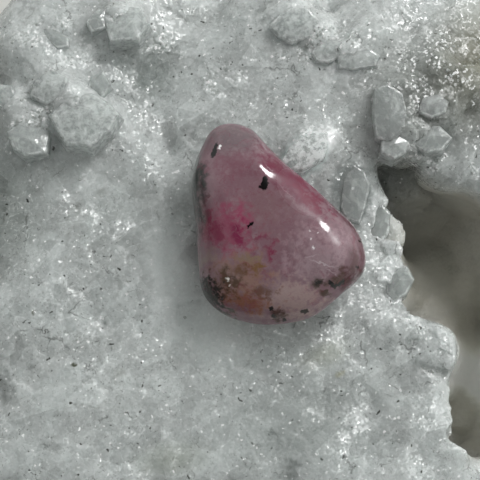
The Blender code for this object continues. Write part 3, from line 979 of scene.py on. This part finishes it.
@dataclass
class CrystalCrust:
    """The crust of small clear points that grew over the glittering parts of the bed."""

    smallest: float = 0.20
    largest: float = 0.65
    per_square_cm: float = 170.0
    lean: float = 0.6
    seed: int = 7
    sink: float = 1.05
    prism: float = 0.9

    def point_shape(self, tree: NodeTree) -> Socket:
        """A six-sided prism with a pointed end, one unit wide.

        Args:
            tree: the geometry tree.

        Returns:
            The shape's socket.
        """
        cones = []
        for top, bottom, depth, ends in ((0.46, 0.5, self.prism, "NONE"), (0.06, 0.46, 0.42, "NGON")):
            sizes = {"Vertices": 6, "Radius Top": top, "Radius Bottom": bottom, "Depth": depth}
            cones.append(add(tree, "GeometryNodeMeshCone", sizes, fill_type=ends).outputs["Mesh"])
        raised = {"Geometry": cones[1], "Translation": (0.0, 0.0, self.prism)}
        joined = add(tree, "GeometryNodeJoinGeometry", {"Geometry": cones[0]})
        feed(tree, joined, {"Geometry": add(tree, "GeometryNodeTransform", raised).outputs["Geometry"]})
        shape = joined.outputs["Geometry"]
        for kind, name, value in (
            ("GeometryNodeMergeByDistance", "Distance", 0.002),
            ("GeometryNodeTransform", "Translation", (0.0, 0.0, -self.sink)),
            ("GeometryNodeSetShadeSmooth", "Shade Smooth", False),
        ):
            shape = add(tree, kind, {"Geometry": shape, name: value}).outputs[0]
        return shape

    def tree(self, material: Material) -> tuple[NodeTree, dict[str, str]]:
        """Builds the geometry tree that sows the points over a surface.

        Args:
            material: what the points are made of.

        Returns:
            The tree, and its inputs' identifiers by name.
        """
        tree = bpy.data.node_groups.new("crystal crust", "GeometryNodeTree")
        for way in ("OUTPUT", "INPUT"):
            tree.interface.new_socket(name="Geometry", in_out=way, socket_type="NodeSocketGeometry")
        kinds = dict.fromkeys(("Per Square Metre", "Smallest", "Largest", "Lean"), "NodeSocketFloat")
        names = {
            name: tree.interface.new_socket(name=name, in_out="INPUT", socket_type=kind).identifier
            for name, kind in (kinds | {"Seed": "NodeSocketInt"}).items()
        }
        t = Nodes(tree)
        given = add(tree, "NodeGroupInput").outputs
        share = add(tree, "GeometryNodeInputNamedAttribute", {"Name": "druse"}, data_type="FLOAT").outputs[0]
        dense = t.times(t.reckon("POWER", share, 1.5), given["Per Square Metre"])
        sown = add(
            tree,
            "GeometryNodeDistributePointsOnFaces",
            {"Mesh": given["Geometry"], "Density": dense, "Seed": given["Seed"]},
        ).outputs

        # Each point leans and turns its own way, and small ones are more common.
        number = add(tree, "GeometryNodeInputIndex").outputs[0]
        turns = {0: (-1.0, -1.0, -3.14), 1: (1.0, 1.0, 3.14), "ID": number, "Seed": 3}
        tilt = add(tree, "FunctionNodeRandomValue", turns, data_type="FLOAT_VECTOR").outputs["Value"]
        reach = {"X": given["Lean"], "Y": given["Lean"], "Z": 1.0}
        lean = add(tree, "ShaderNodeCombineXYZ", reach).outputs["Vector"]
        turned = {"Rotation": sown["Rotation"], "Rotate By": t.vector("MULTIPLY", tilt, lean)}
        draw = {2: 0.0, 3: 1.0, "ID": number, "Seed": 5}
        chance = add(tree, "FunctionNodeRandomValue", draw, data_type="FLOAT").outputs[1]
        chance = t.reckon("POWER", chance, 3.0)
        sizes = {"Value": chance, "To Min": given["Smallest"], "To Max": given["Largest"]}
        placed = {
            "Points": sown["Points"],
            "Instance": self.point_shape(tree),
            "Rotation": add(tree, "FunctionNodeRotateRotation", turned, rotation_space="LOCAL").outputs[0],
            "Scale": add(tree, "ShaderNodeMapRange", sizes).outputs["Result"],
        }
        crust = add(tree, "GeometryNodeInstanceOnPoints", placed).outputs[0]
        crust = add(tree, "GeometryNodeRealizeInstances", {"Geometry": crust}).outputs[0]
        crust = add(tree, "GeometryNodeSetMaterial", {"Geometry": crust, "Material": material}).outputs[0]
        add(tree, "NodeGroupOutput", {"Geometry": crust})
        return tree, names

    def build(self, bed: Object) -> Object:
        """Sows the points over the bed.

        Args:
            bed: the finished bed, which carries the crust's share.

        Returns:
            The finished piece.
        """
        tree, names = self.tree(ClearQuartz().build())
        obj = object_from("quartz_points", bed.data.copy())
        sowing = obj.modifiers.new("crystal crust", "NODES")
        sowing.node_group = tree
        values = {
            "Per Square Metre": self.per_square_cm * 1e4,
            "Smallest": self.smallest * MM,
            "Largest": self.largest * MM,
            "Lean": self.lean,
            "Seed": self.seed,
        }
        for name, value in values.items():
            sowing[names[name]] = value
        applied(obj)
        return obj


@dataclass
class RhodonitePebble:
    """The pebble: an uneven drop shape with a broad back, a sharper shoulder and a flatter belly.

    The shoulders are directions in degrees, with how narrow each is and how much broader and
    rounder the pebble is there. The bulge and the knolls are places, widths and rises. The tail is
    where the narrow end begins, how long it is and how far it sinks.
    """

    solid: Object
    tones_and_painted_light: Sequence[Oval]
    specks_and_highlights: Sequence[Oval]
    edge: Sequence[tuple[float, float]]
    knolls: Sequence[tuple[float, float, float, float]]
    dull: Sequence[Oval]
    middle: tuple[float, float] = (3.6, 0.3)
    moved: tuple[float, float] = (-2.335, -1.24)
    dome: float = 6.0
    belly: float = 5.2
    back_curve: tuple[float, float] = (2.3, 1.8)
    belly_curve: tuple[float, float] = (2.6, 2.0)
    bulge: tuple[float, float, float, float] = (9.5, -1.3, 4.2, 0.6)
    shoulders: Sequence[tuple[float, float, float, float]] = (
        (52.0, 6.0, 3.2, 0.9),
        (-15.0, 6.0, 2.4, 0.3),
        (140.0, 4.0, 3.4, 0.7),
    )
    tail: tuple[float, float, float] = (3.0, 11.0, 1.5)
    waves: float = 0.18
    edge_steps: int = 12
    subdivisions: int = 7

    def outline(self) -> tuple[np.ndarray, np.ndarray]:
        """The widest outline as directions and reaches from the middle.

        Returns:
            Angles in radians, and distances in millimetres.
        """
        points = np.array(self.edge)
        before, end, after = (np.roll(points, k, axis=0) for k in (1, -1, -2))
        t = (np.arange(self.edge_steps) / self.edge_steps)[:, None, None]
        curve = 0.5 * (
            2 * points
            + (end - before) * t
            + (2 * before - 5 * points + 4 * end - after) * t**2
            + (3 * points - before - 3 * end + after) * t**3
        )
        off = curve.transpose(1, 0, 2).reshape(-1, 2) - np.array(self.middle)
        return np.arctan2(off[:, 1], off[:, 0]), np.hypot(off[:, 0], off[:, 1])

    def place(self, way: Vector, angles: np.ndarray, reaches: np.ndarray) -> Vector:
        """A point of the skin for a direction from the middle.

        Args:
            way: the direction, one unit long.
            angles: the outline's directions.
            reaches: the outline's distances.

        Returns:
            The point in millimetres, before the pebble is let down onto the bed.
        """
        angle = math.atan2(way.y, way.x)
        if way.z >= 0:
            (broad, round_off), height = self.back_curve, self.dome
            for direction, narrow, broader, rounder in self.shoulders:
                facing = max(0.0, math.cos(angle - math.radians(direction))) ** narrow
                broad += broader * facing
                round_off += rounder * facing
        else:
            (broad, round_off), height = self.belly_curve, -self.belly
        out = math.sqrt(max(0.0, 1 - way.z**2))
        level = (1 - out**broad) ** (1 / round_off)
        reach = float(np.interp(angle, angles, reaches, period=2 * math.pi)) * out
        x, y = self.middle[0] + reach * math.cos(angle), self.middle[1] + reach * math.sin(angle)
        z = height * level
        if way.z > 0:
            east, north, wide, rise = self.bulge
            z += rise * level * math.exp(-((x - east) ** 2 + (y - north) ** 2) / wide**2)
            start, length, sink = self.tail
            z -= sink * level * max(0.0, (y - start) / length) ** 2
        z += self.waves * noise.noise(Vector((x, y, z)) * 0.22)
        point = Vector((x + self.moved[0], y + self.moved[1], z))
        if way.z > 0:
            for east, north, wide, rise in self.knolls:
                off = (point.x - east) ** 2 + (point.y - north) ** 2
                point.z += rise * level * math.exp(-off / wide**2)
        return point

    def build(self) -> Object:
        """Makes the pebble, as high as its solid.

        Returns:
            The finished piece.
        """
        angles, reaches = self.outline()
        bm = bmesh.new()
        bmesh.ops.create_icosphere(bm, subdivisions=self.subdivisions, radius=1.0)
        for vert in bm.verts:
            vert.co = self.place(vert.co.normalized(), angles, reaches)
        heights = [vert.co.z for vert in bm.verts]
        low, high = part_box(self.solid.name)
        lift = low.z / MM - min(heights)
        squeeze = (high.z / MM - lift) / max(heights)
        for vert in bm.verts:
            vert.co.z = vert.co.z * (squeeze if vert.co.z > 0 else 1.0) + lift
            vert.co *= MM
        bmesh.ops.recalc_face_normals(bm, faces=bm.faces)
        mesh = bpy.data.meshes.new("rhodonite_pebble")
        bm.to_mesh(mesh)
        bm.free()
        obj = object_from("rhodonite_pebble", mesh)
        mesh.materials.append(PolishedRhodonite().build(self.tones_and_painted_light, self.specks_and_highlights, self.dull))
        mesh.shade_smooth()
        return obj


@dataclass
class Studio:
    """The pale floor, the soft light and the camera that looks down on the stone.

    The glows are soft bright places of the sky: their direction, brightness and tightness.
    """

    target: tuple[float, float, float] = (-2.33, -1.24, 26.0)
    elevation: float = 80.0
    distance: float = 200.0
    half_view: float = 30.0
    floor_half: float = 600.0
    floor_drop: float = 0.02
    light_distance: float = 300.0
    sky: str = "CBCECC"
    sky_strength: float = 1.05
    zenith_dark: float = 0.85
    glows: Sequence[tuple[tuple[float, float, float], float, float]] = (
        (WINDOW_WAY, 1.5, 30.0),
        ((0.67, 0.25, 0.69), 9.0, 60.0),
    )

    def floor(self) -> None:
        """Lays the floor, which is no part of the object."""
        half = self.floor_half * MM
        mesh = bpy.data.meshes.new("floor")
        corners = [(-half, -half, 0.0), (half, -half, 0.0), (half, half, 0.0), (-half, half, 0.0)]
        mesh.from_pydata(corners, [], [(0, 1, 2, 3)])
        mesh.materials.append(MattPaper().build())
        obj = object_from("floor", mesh)
        obj.location.z = -self.floor_drop * MM

    def aimed(self, name: str, data: bpy.types.ID, way: Vector, distance: float) -> Object:
        """Puts a camera or a light where it looks at the stone.

        Args:
            name: its name.
            data: the camera or the light.
            way: the direction from the stone to it.
            distance: how far away it is, in millimetres.

        Returns:
            Its object.
        """
        obj = object_from(name, data)
        obj.location = (Vector(self.target) + way * distance) * MM
        obj.rotation_euler = (-way).to_track_quat("-Z", "Y").to_euler()
        return obj

    def camera(self) -> None:
        """Sets up the camera."""
        data = bpy.data.cameras.new("camera")
        data.sensor_width = 36.0
        data.lens = data.sensor_width / 2 * self.distance / self.half_view
        data.clip_start = 0.01
        rise = math.radians(self.elevation)
        back = Vector((0.0, -math.cos(rise), math.sin(rise)))
        bpy.context.scene.camera = self.aimed("camera", data, back, self.distance)

    def lights(self) -> None:
        """Hangs the lights and sets the sky."""
        for light in Light:
            side, watts, way = light.value
            data = bpy.data.lights.new(light.name.lower(), "AREA")
            data.shape = "SQUARE"
            data.size = side
            data.energy = watts
            self.aimed(light.name.lower(), data, Vector(way).normalized(), self.light_distance)
        world = bpy.data.worlds.new("sky")
        bpy.context.scene.world = world
        world.use_nodes = True
        t = Nodes(world.node_tree)
        # The sky is dim overhead and away from the window, and glows softly in two places.
        way = add(t.tree, "ShaderNodeTexCoord").outputs["Generated"]
        up = add(t.tree, "ShaderNodeSeparateXYZ", {0: way}).outputs["Z"]
        sky = t.ramp(up, 0.66, 0.94, self.sky_strength, self.sky_strength * (1 - self.zenith_dark))
        facings = [t.vector("DOT_PRODUCT", way, Vector(towards).normalized()) for towards, _, _ in self.glows]
        sky = t.times(sky, t.ramp(facings[0], -0.5, 0.5, 0.3, 1.0))
        for facing, (_, strength, tightness) in zip(facings, self.glows):
            glow = t.reckon("POWER", t.reckon("MAXIMUM", facing, 0.0), tightness)
            sky = t.reckon("MULTIPLY_ADD", glow, strength, sky)
        feed(t.tree, t.tree.nodes["Background"], {"Color": linear(self.sky), "Strength": sky})
        bpy.context.scene.view_settings.view_transform = "Standard"


# Where the bed glitters most.
CRUST = table(
    Patch,
    (18.2, 17.6, 7.5, 5), (7.2, 25.1, 9, 6), (12.3, 21.4, 6, 3), (-5.1, 18.5, 5.5, 5, 0, 0.75),
    (-11.2, 25.1, 5, 4, 0, 0.9), (-22.2, 14, 7, 5.5), (-29.2, 12.4, 5.5, 4.5), (-26.3, 17.1, 5, 5),
    (-26, 24.5, 7, 6, 0, 0.7), (-17.7, 26.8, 3.6, 3.6, 0, 0.6), (6.1, 9.8, 5.5, 4, 40), (19.3, 8.8, 6, 3),
    (23.1, 21.8, 10, 9, 0, 0.8), (30, 8, 6, 6, 0, 0.6),
)  # fmt: skip

# The raised clumps, whose crystals keep their edges.
CLUMPS = table(
    Patch,
    (-22.2, 14, 6.5, 6, 0, 0.12), (-29.5, 12.4, 6, 5.5, 0, 0.12), (-26.3, 18, 6, 5.5, 0, 0.12),
    (-17.7, 26.8, 6, 5.5, 0, 0.14), (20, 12, 8, 6, 0, 0.5), (6.1, 9.8, 5, 5, 0, 0.2),
    (9, 25, 13, 7, 0, 0.24), (25, 20, 9, 10, 0, 0.24), (16.5, 0, 4, 6), (18.5, -7, 5, 6),
    (22, -15, 5, 6, 0, 0.6), (25.5, -24, 5, 7, 0, 0.6), (-5, 19, 6, 5, 0, 0.25),
)  # fmt: skip

# The large crystals, from the far left to the brink of the hollow.
CRYSTALS = table(
    Crystal,
    (-28.8, 11.8, 6.2, 5, 10, 0.4, -0.05, -0.16, 7, 0.25),
    (-21.8, 13.8, 8.4, 7, 5, 0.4, 0.05, -0.16, 9, 0.45), (-26.2, 18, 5.2, 4.4, 30, 0.3, 0.1, 0.1, 6, 0.5),
    (-20.2, 18.4, 4.2, 3.2, 70, 0.1, 0.15, 0.1, 6, 0.2), (-32, 17, 4, 3.2, 110, 0.1, -0.1, 0.1, 6, 0.3),
    (-16.7, 26.4, 6.4, 5.4, 0, 0.4, 0.05, -0.15, 6, 0.4), (-20.2, 27, 3.8, 3, 60, 0.1, -0.1, -0.1, 6, 0.1),
    (-25.8, 25, 4.6, 2.4, -40, 0.15, 0.1, -0.1, 6, 0.1), (4.6, 26.4, 6.6, 4.4, 5, 0.2, 0.06, 0.14, 8, 0.55),
    (8.8, 23, 4.6, 3.4, 20, 0.15, 0.1, -0.1, 7, 0.35), (12.6, 21.6, 5.6, 2.8, 8, 0.1, 0.05, 0.1, 7, 0.3),
    (6, 10, 6.8, 3.8, 38, 0.35, 0.05, 0.12, 9, 0.95), (12.2, 5, 7.8, 3.6, 88, 0.2, 0.1, 0, 9),
    (16.6, 14.6, 8.6, 4.8, 92, 0.15, 0.04, 0.08, 8), (17.2, 10.9, 4.8, 4.2, 60, 0.2, 0, -0.12, 7, 0.3),
    (21.6, 11.6, 5, 3.8, 0, 0.15, 0.1, -0.14, 7, 0.1), (22, 15.4, 4.2, 3.4, 20, 0.2, 0.12, -0.1, 6, 0.2),
    (17.6, -6.4, 4.6, 3.4, 60, 0.1, 0, 0.1, 7, 0.1), (15.2, 1, 5.6, 3.2, 80, 0.1, 0.1, 0.05, 7, 0.1),
)  # fmt: skip

# Shallow places where the bed sinks a little and is painted darker, as the shade that lies in them.
SHADED_DIPS = table(
    Patch,
    (-33, 2.5, 9.5, 12, 0, 1.3), (-14, 21.5, 5.5, 7, -20, 1), (-18, 3, 11, 9, 0, 0.35),
    (8, -20, 16, 10, 0, 0.3), (14, 12, 7, 6, 0, 0.5), (-8, 29, 5, 3, 0, 0.4),
)  # fmt: skip

# The hollow beside the shelf.
CAVERN = table(
    Patch,
    (26, -1, 16, 16, 0, 1.6), (29, -13, 12, 13, 0, 1.6), (30, -22, 10, 10, 0, 1.6),
)  # fmt: skip

GRIME, SOOT, MOSS = "45463F", "22231F", "5E6152"

# Lighter and darker parts of the bed, the widest first, then specks and strands of dirt. Some of the
# wide ones are painted light and painted shade, as noted beside them.
BED_STAINS_AND_PAINTED_LIGHT = table(
    Oval,
    # Painted light: pale ovals that lift the shade the pebble casts to its south-west and west.
    (-5, -12, 10, 7, -30, "E9EDEC", 0.85, 0.2), (-10.5, -3, 4.5, 9, 0, "F2F6F5", 0.85, 0.2),
    (5, -24, 16, 8, 0, "A6ABA9", 0.6), (-10, -27.5, 7, 3.4, 8, "9BA093", 0.45),
    # Painted shade: the second oval below darkens the shaded dip near the top.
    (9, -14.5, 5, 2.4, 20, "A9AB9A", 0.4), (-14, 21.5, 6.5, 7.5, -20, "8B918F", 0.6),
    # Painted light: the first oval below lifts the shade under the clumps on the left, and the white one is
    # painted glitter on the bright crystal beside the pebble.
    (-21, 7.6, 6.5, 3.6, 0, "E0E4E3", 0.6, 0.2), (8.8, 12.2, 3.2, 2.2, 40, "FFFFFF", 0.8, 0.3),
    (24, 19, 15, 14, 0, "6C6E68", 0.9), (30, 24, 9, 13, 0, "7E7B68", 0.75),
    (6.4, 10.2, 4.8, 3.2, 40, "F0FAF8", 1, 0.5), (12.6, 6.2, 3.2, 4.6, 0, "858B89", 0.85, 0.6),
    (-22.3, 13.2, 4.6, 3.6, 0, "D9DEDD", 0.6, 0.2), (-29.3, 12.2, 3.6, 3, 0, "CDD2D1", 0.5, 0.2),
    (12.3, 21.4, 4, 1.6, 10, "E0E4E4", 0.7, 0.2), (4.5, 27, 4, 3, 0, "D6DBDB", 0.6, 0.2),
    (-16.6, -16.8, 1.4, 0.8, 10, "8A8C86", 0.5), (11, -17, 1, 0.6, 20, "A39F84", 0.6),
    (-22.2, 4.3, 0.9, 0.9, 0, "6E716B", 0.5), (-19.2, 6.2, 1.5, 0.8, 30, "7A7D77", 0.45),
    (-28.6, 5.3, 0.28, 0.16, -50, SOOT, 1, 0.4), (-24.4, 6.1, 0.22, 0.14, 0, GRIME, 0.9, 0.3),
    (-25.4, 3.4, 0.18, 0.14, 0, GRIME, 0.8, 0.3), (-23.6, -4.8, 0.2, 0.16, 0, SOOT, 0.95, 0.4),
    (-28.6, -4.7, 0.16, 0.14, 0, GRIME, 0.8, 0.3), (-27.4, -5.7, 0.18, 0.12, 0, GRIME, 0.7, 0.3),
    (-19.1, -6.3, 0.24, 0.14, 60, GRIME, 0.9, 0.3), (-20.1, -1.4, 0.18, 0.12, 20, SOOT, 0.9, 0.4),
    (-18.8, 2.1, 0.2, 0.14, 0, GRIME, 0.8, 0.3), (-27.2, -9.4, 0.34, 0.3, 0, MOSS, 0.8, 0.2),
    (-28.3, -10.5, 0.26, 0.14, 30, GRIME, 0.8, 0.3), (-22.2, -15.9, 0.52, 0.34, 10, MOSS, 1, 0.3),
    (-19.4, -12.9, 0.2, 0.16, 0, GRIME, 0.7, 0.3), (-31.5, -17.7, 0.2, 0.2, 0, SOOT, 0.9, 0.4),
    (-21.1, -25.6, 0.24, 0.18, 0, SOOT, 1, 0.4), (-20.1, -19, 0.2, 0.12, 0, GRIME, 0.7, 0.3),
    (-11.6, -18.4, 0.26, 0.14, -20, GRIME, 0.8, 0.3), (11, -19.1, 0.46, 0.46, 0, "D5DAD8", 0.8, 0.4),
    (11, -19.1, 0.2, 0.2, 0, SOOT, 1, 0.5), (14.8, -21.9, 0.2, 0.16, 0, GRIME, 0.8, 0.3),
    (12.7, -23.5, 0.2, 0.14, 0, GRIME, 0.8, 0.3), (17.7, -24.1, 0.24, 0.12, 70, GRIME, 0.8, 0.3),
    (12.3, -28.1, 0.2, 0.16, 0, GRIME, 0.8, 0.3), (22.1, -23.5, 0.2, 0.16, 0, GRIME, 0.7, 0.3),
    (-24.7, 8.6, 1.3, 0.07, 38, GRIME, 0.7, 0.2), (-25.9, -11.7, 1.4, 0.07, -14, GRIME, 0.75, 0.2),
    (-15.2, -6.7, 1.3, 0.08, 24, GRIME, 0.7, 0.2), (-16.8, -4.4, 0.7, 0.07, -55, GRIME, 0.7, 0.2),
    (-15.6, -22, 1.6, 0.08, -22, GRIME, 0.7, 0.2), (18.3, -12.9, 0.9, 0.07, 60, GRIME, 0.6, 0.2),
    (21.8, -21.6, 0.9, 0.07, 70, GRIME, 0.6, 0.2),
)  # fmt: skip

# Blocks of shade in the hollow, which show through the stone's depth. The widest, over the lower
# floor, is painted light that brightens the shade there.
HOLLOW_SHADE_AND_LIGHT = table(
    Oval,
    (28, -17, 12, 9, 0, "FFFFFA", 0.95, 0.3), (24, -1, 5, 5, 20, "B9B7AE", 0.8, 0.6),
    (30.5, 2, 4, 4, 0, "D2D0C8", 0.8, 0.6), (33, -6, 4.5, 6, 10, "B0AEA4", 0.8, 0.6),
    (26.5, -8, 3.5, 4, -20, "C4C2B8", 0.8, 0.6), (28, -21, 3, 4, 15, "CFCDC2", 0.7, 0.6),
)  # fmt: skip

# Zones of colour in the pebble, the widest first. The dark grey of the left flank and the near-black
# of the lower-left edge are partly the stone's own colour and partly painted shade.
PEBBLE_STAINS = table(
    Oval,
    (-2.9, 9.9, 5, 3.4, 0, "6C5C61", 0.95, 0.2, 0.6), (-3, 6.6, 4, 2.6, 0, "754A57", 0.7, 0.1),
    (0.6, 0.8, 5.5, 4.5, 0, "7E6065", 0.7, 0.1), (7.4, -4.4, 5.6, 5.2, 0, "A0878E", 0.95, 0.2),
    (3.4, -9.6, 6, 3, 0, "9E8684", 0.95, 0.3), (-2.4, -7.6, 5.2, 3.6, 0, "8D6C62", 0.95, 0.25),
    (10.6, 0.9, 4.8, 1.8, -47, "5A3A42", 0.85, 0.2), (4.1, 4.1, 8.2, 2.9, -47, "6C2740", 0.95, 0.3, 0.6),
    (5.8, 2.6, 3.4, 1.5, -47, "6E1535", 0.95, 0.2), (2.4, 6.2, 2.2, 1.1, -47, "6A2039", 0.9, 0.2),
    (-3.9, -1.4, 4.6, 4.2, 0, "90425C", 0.92, 0.2, 0.7), (-6.2, -0.6, 0.8, 2.8, 4, "7E1A40", 0.92, 0.2),
    (-4.9, -1.9, 0.7, 2.4, 8, "7E1C43", 0.92, 0.2), (-2.6, -2.2, 1, 2, 0, "7A2447", 0.85, 0.2),
    (-6.6, 1, 0.5, 2.6, 0, "6A434B", 0.7, 0.2), (1.4, -4.6, 0.7, 1.9, 0, "7A2B46", 0.9, 0.2),
    (0, -3, 1.6, 0.7, -30, "75344A", 0.7, 0.2), (3, -5.3, 0.4, 1.8, 8, "9B8189", 0.9, 0.2),
    # Partly the stone's grey and partly painted shade: the left flank, which faces away from the light.
    (-6.3, -4.6, 2, 0.9, 10, "8B7672", 0.8, 0.2), (-8, 5.2, 1.9, 5.4, 4, "343735", 1, 0.4, 0.2),
    (-7.7, 0.6, 1.2, 3.6, 4, "3C3534", 0.95, 0.3, 0.25), (-1.4, -5.2, 2.4, 0.8, -12, "84725C", 0.7, 0.1),
    (-2.4, -6.6, 2, 0.8, 4, "654630", 0.9, 0.2), (-0.2, -6.3, 1.2, 0.5, 6, "785934", 0.85, 0.2),
    (-1.7, -9.8, 4.6, 1.6, -8, "84503A", 0.9, 0.2), (0.4, -8.9, 2.2, 1, 20, "5A3527", 0.8, 0.2),
    # Partly brown stone and partly painted shade: the near-black band along the lower-left edge.
    (-4, -7.8, 2.4, 1.6, -30, "4B3018", 0.95, 0.2), (-6.2, -8.8, 4.2, 1.7, -52, "150D04", 1, 0.4),
    (-4, -11.2, 1.6, 0.7, -20, "3A3A2F", 0.9, 0.3), (10.6, -7.2, 2.4, 1.3, 40, "4C1A20", 0.95, 0.2),
    (9, -7.4, 2, 0.9, 20, "523A30", 0.9, 0.2), (6.9, -7.9, 1.2, 0.9, 0, "2F1D10", 0.95, 0.2),
    (7.9, -9, 1, 0.7, 0, "3E2A1A", 0.9, 0.2), (2, -11.4, 1.4, 0.8, 0, "3C1E12", 0.9, 0.2),
    (11.6, -5.2, 1.6, 2.4, 20, "5E4446", 0.8, 0.2),
)  # fmt: skip

# Black specks and strokes of manganese and pale cracks. The white flecks are painted highlights of
# pits that catch the light, and the two faint strokes along the ridge are a painted sheen.
PEBBLE_SPECKS_AND_HIGHLIGHTS = table(
    Oval,
    (-5.4, 8.4, 1.25, 0.36, 76, "070304", 1, 0.7), (0.6, 4, 0.95, 0.52, 82, "070203", 1, 0.75),
    (0.2, 3.6, 0.35, 0.28, 0, "120508", 1, 0.6), (-1.1, -1, 0.65, 0.24, 48, "0C0406", 1, 0.6),
    (-0.9, -0.7, 0.25, 0.16, 0, "0C0406", 1, 0.6), (8.7, -8, 0.7, 0.28, -40, "080303", 1, 0.6),
    (9.6, -7.8, 0.9, 0.28, 35, "080303", 1, 0.6), (7, -7.8, 0.5, 0.34, 20, "1A0E08", 1, 0.5),
    (1.4, -10.8, 0.34, 0.28, 0, "120806", 1, 0.5), (1.7, -11.6, 0.42, 0.34, 0, "120806", 1, 0.5),
    (5.4, -11, 0.65, 0.34, 10, "1E100E", 1, 0.5), (3, -11.9, 0.32, 0.24, 0, "1A0E0A", 0.95, 0.5),
    (12.2, -2.6, 0.34, 0.28, 0, "24090F", 0.95, 0.4), (11.8, -5.8, 0.34, 0.28, 0, "24090F", 0.95, 0.4),
    (7.4, -5.7, 2.1, 0.13, -16, "C3B2B7", 0.75, 0.2), (6.2, -4.9, 1.3, 0.1, 12, "B9A6AC", 0.7, 0.2),
    (8.6, -6.6, 1.5, 0.11, -30, "B5A2A8", 0.6, 0.2), (6.4, -3.9, 0.32, 0.22, 0, "F4F0F2", 0.95, 0.3),
    (6.1, -2.9, 0.2, 0.16, 0, "E8E2E4", 0.9, 0.3), (6.9, -2.2, 0.18, 0.16, 0, "E8E2E4", 0.9, 0.3),
    (6, -1.9, 0.16, 0.14, 0, "D8CFD2", 0.9, 0.3), (-3.8, -7.4, 0.36, 0.2, -60, "F2E9E4", 0.95, 0.3),
    (-3.6, -8.1, 0.18, 0.16, 0, "DCCFC8", 0.9, 0.3), (-4.75, 8.85, 0.42, 0.2, 80, "FFFFFF", 1, 0.5),
    (1.2, 5.9, 0.9, 0.1, -47, "B795A0", 0.5, 0.2), (3.4, 2.8, 2.2, 0.1, -47, "B08C98", 0.35, 0.2),
)  # fmt: skip

# The pebble's outline from above, round its own middle, in millimetres.
PEBBLE_EDGE = (
    (-1.6, 13.9), (1.2, 13.3), (3.8, 10.6), (6.7, 7.6), (10.7, 4), (13.9, 1), (15.3, -2.4), (14.9, -5),
    (12.3, -7.5), (8.7, -10.2), (4.2, -11.1), (0.2, -10.7), (-2.8, -9.3), (-4.6, -7), (-5.1, -3.4),
    (-5.4, 0.9), (-6, 5.7), (-5.7, 8.2), (-4.7, 10.9), (-3.5, 13),
)  # fmt: skip

# Low knolls along the pebble's shoulder, which catch the window: place, width and rise.
KNOLLS = ((-0.1, 6.6, 1.6, 0.26), (9, -2.8, 3.4, 0.32))

# The softer pink band took the polish less well. The greys are the roughness.
DULL = table(
    Oval,
    (5.3, 3.1, 5.3, 3.5, -44, "C7C7C7", 1, 0.34), (9, -1.3, 2.6, 2.2, -50, "6E6E6E", 0.8),
)  # fmt: skip


def main() -> None:
    """Builds, dresses and reports each piece."""
    logging.basicConfig(level=logging.INFO, format="%(message)s")
    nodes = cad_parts
    studio = Studio()
    studio.camera()
    studio.lights()
    studio.floor()

    bed = QuartzBed(
        nodes["quartz"], BED_STAINS_AND_PAINTED_LIGHT, HOLLOW_SHADE_AND_LIGHT, CRUST, SHADED_DIPS, CLUMPS, CAVERN, Patch(1.5, -0.5, 14.0, 16.0)
    ).build()
    points = CrystalCrust().build(bed)
    crystals = LargeCrystals(CRYSTALS).build(bed)
    pebble = RhodonitePebble(
        nodes["rhodonite"], PEBBLE_STAINS, PEBBLE_SPECKS_AND_HIGHLIGHTS, PEBBLE_EDGE, KNOLLS, DULL
    ).build()
    for piece, slot in ((bed, "quartz"), (points, "quartz"), (crystals, "quartz"), (pebble, "rhodonite")):
        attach(piece, "root")
        triangles = sum(len(face.vertices) - 2 for face in piece.data.polygons)
        log.info("%s: %d triangles", piece.name, triangles)
    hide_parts("quartz")
    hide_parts("rhodonite")


if __name__ == "__main__":
    main()
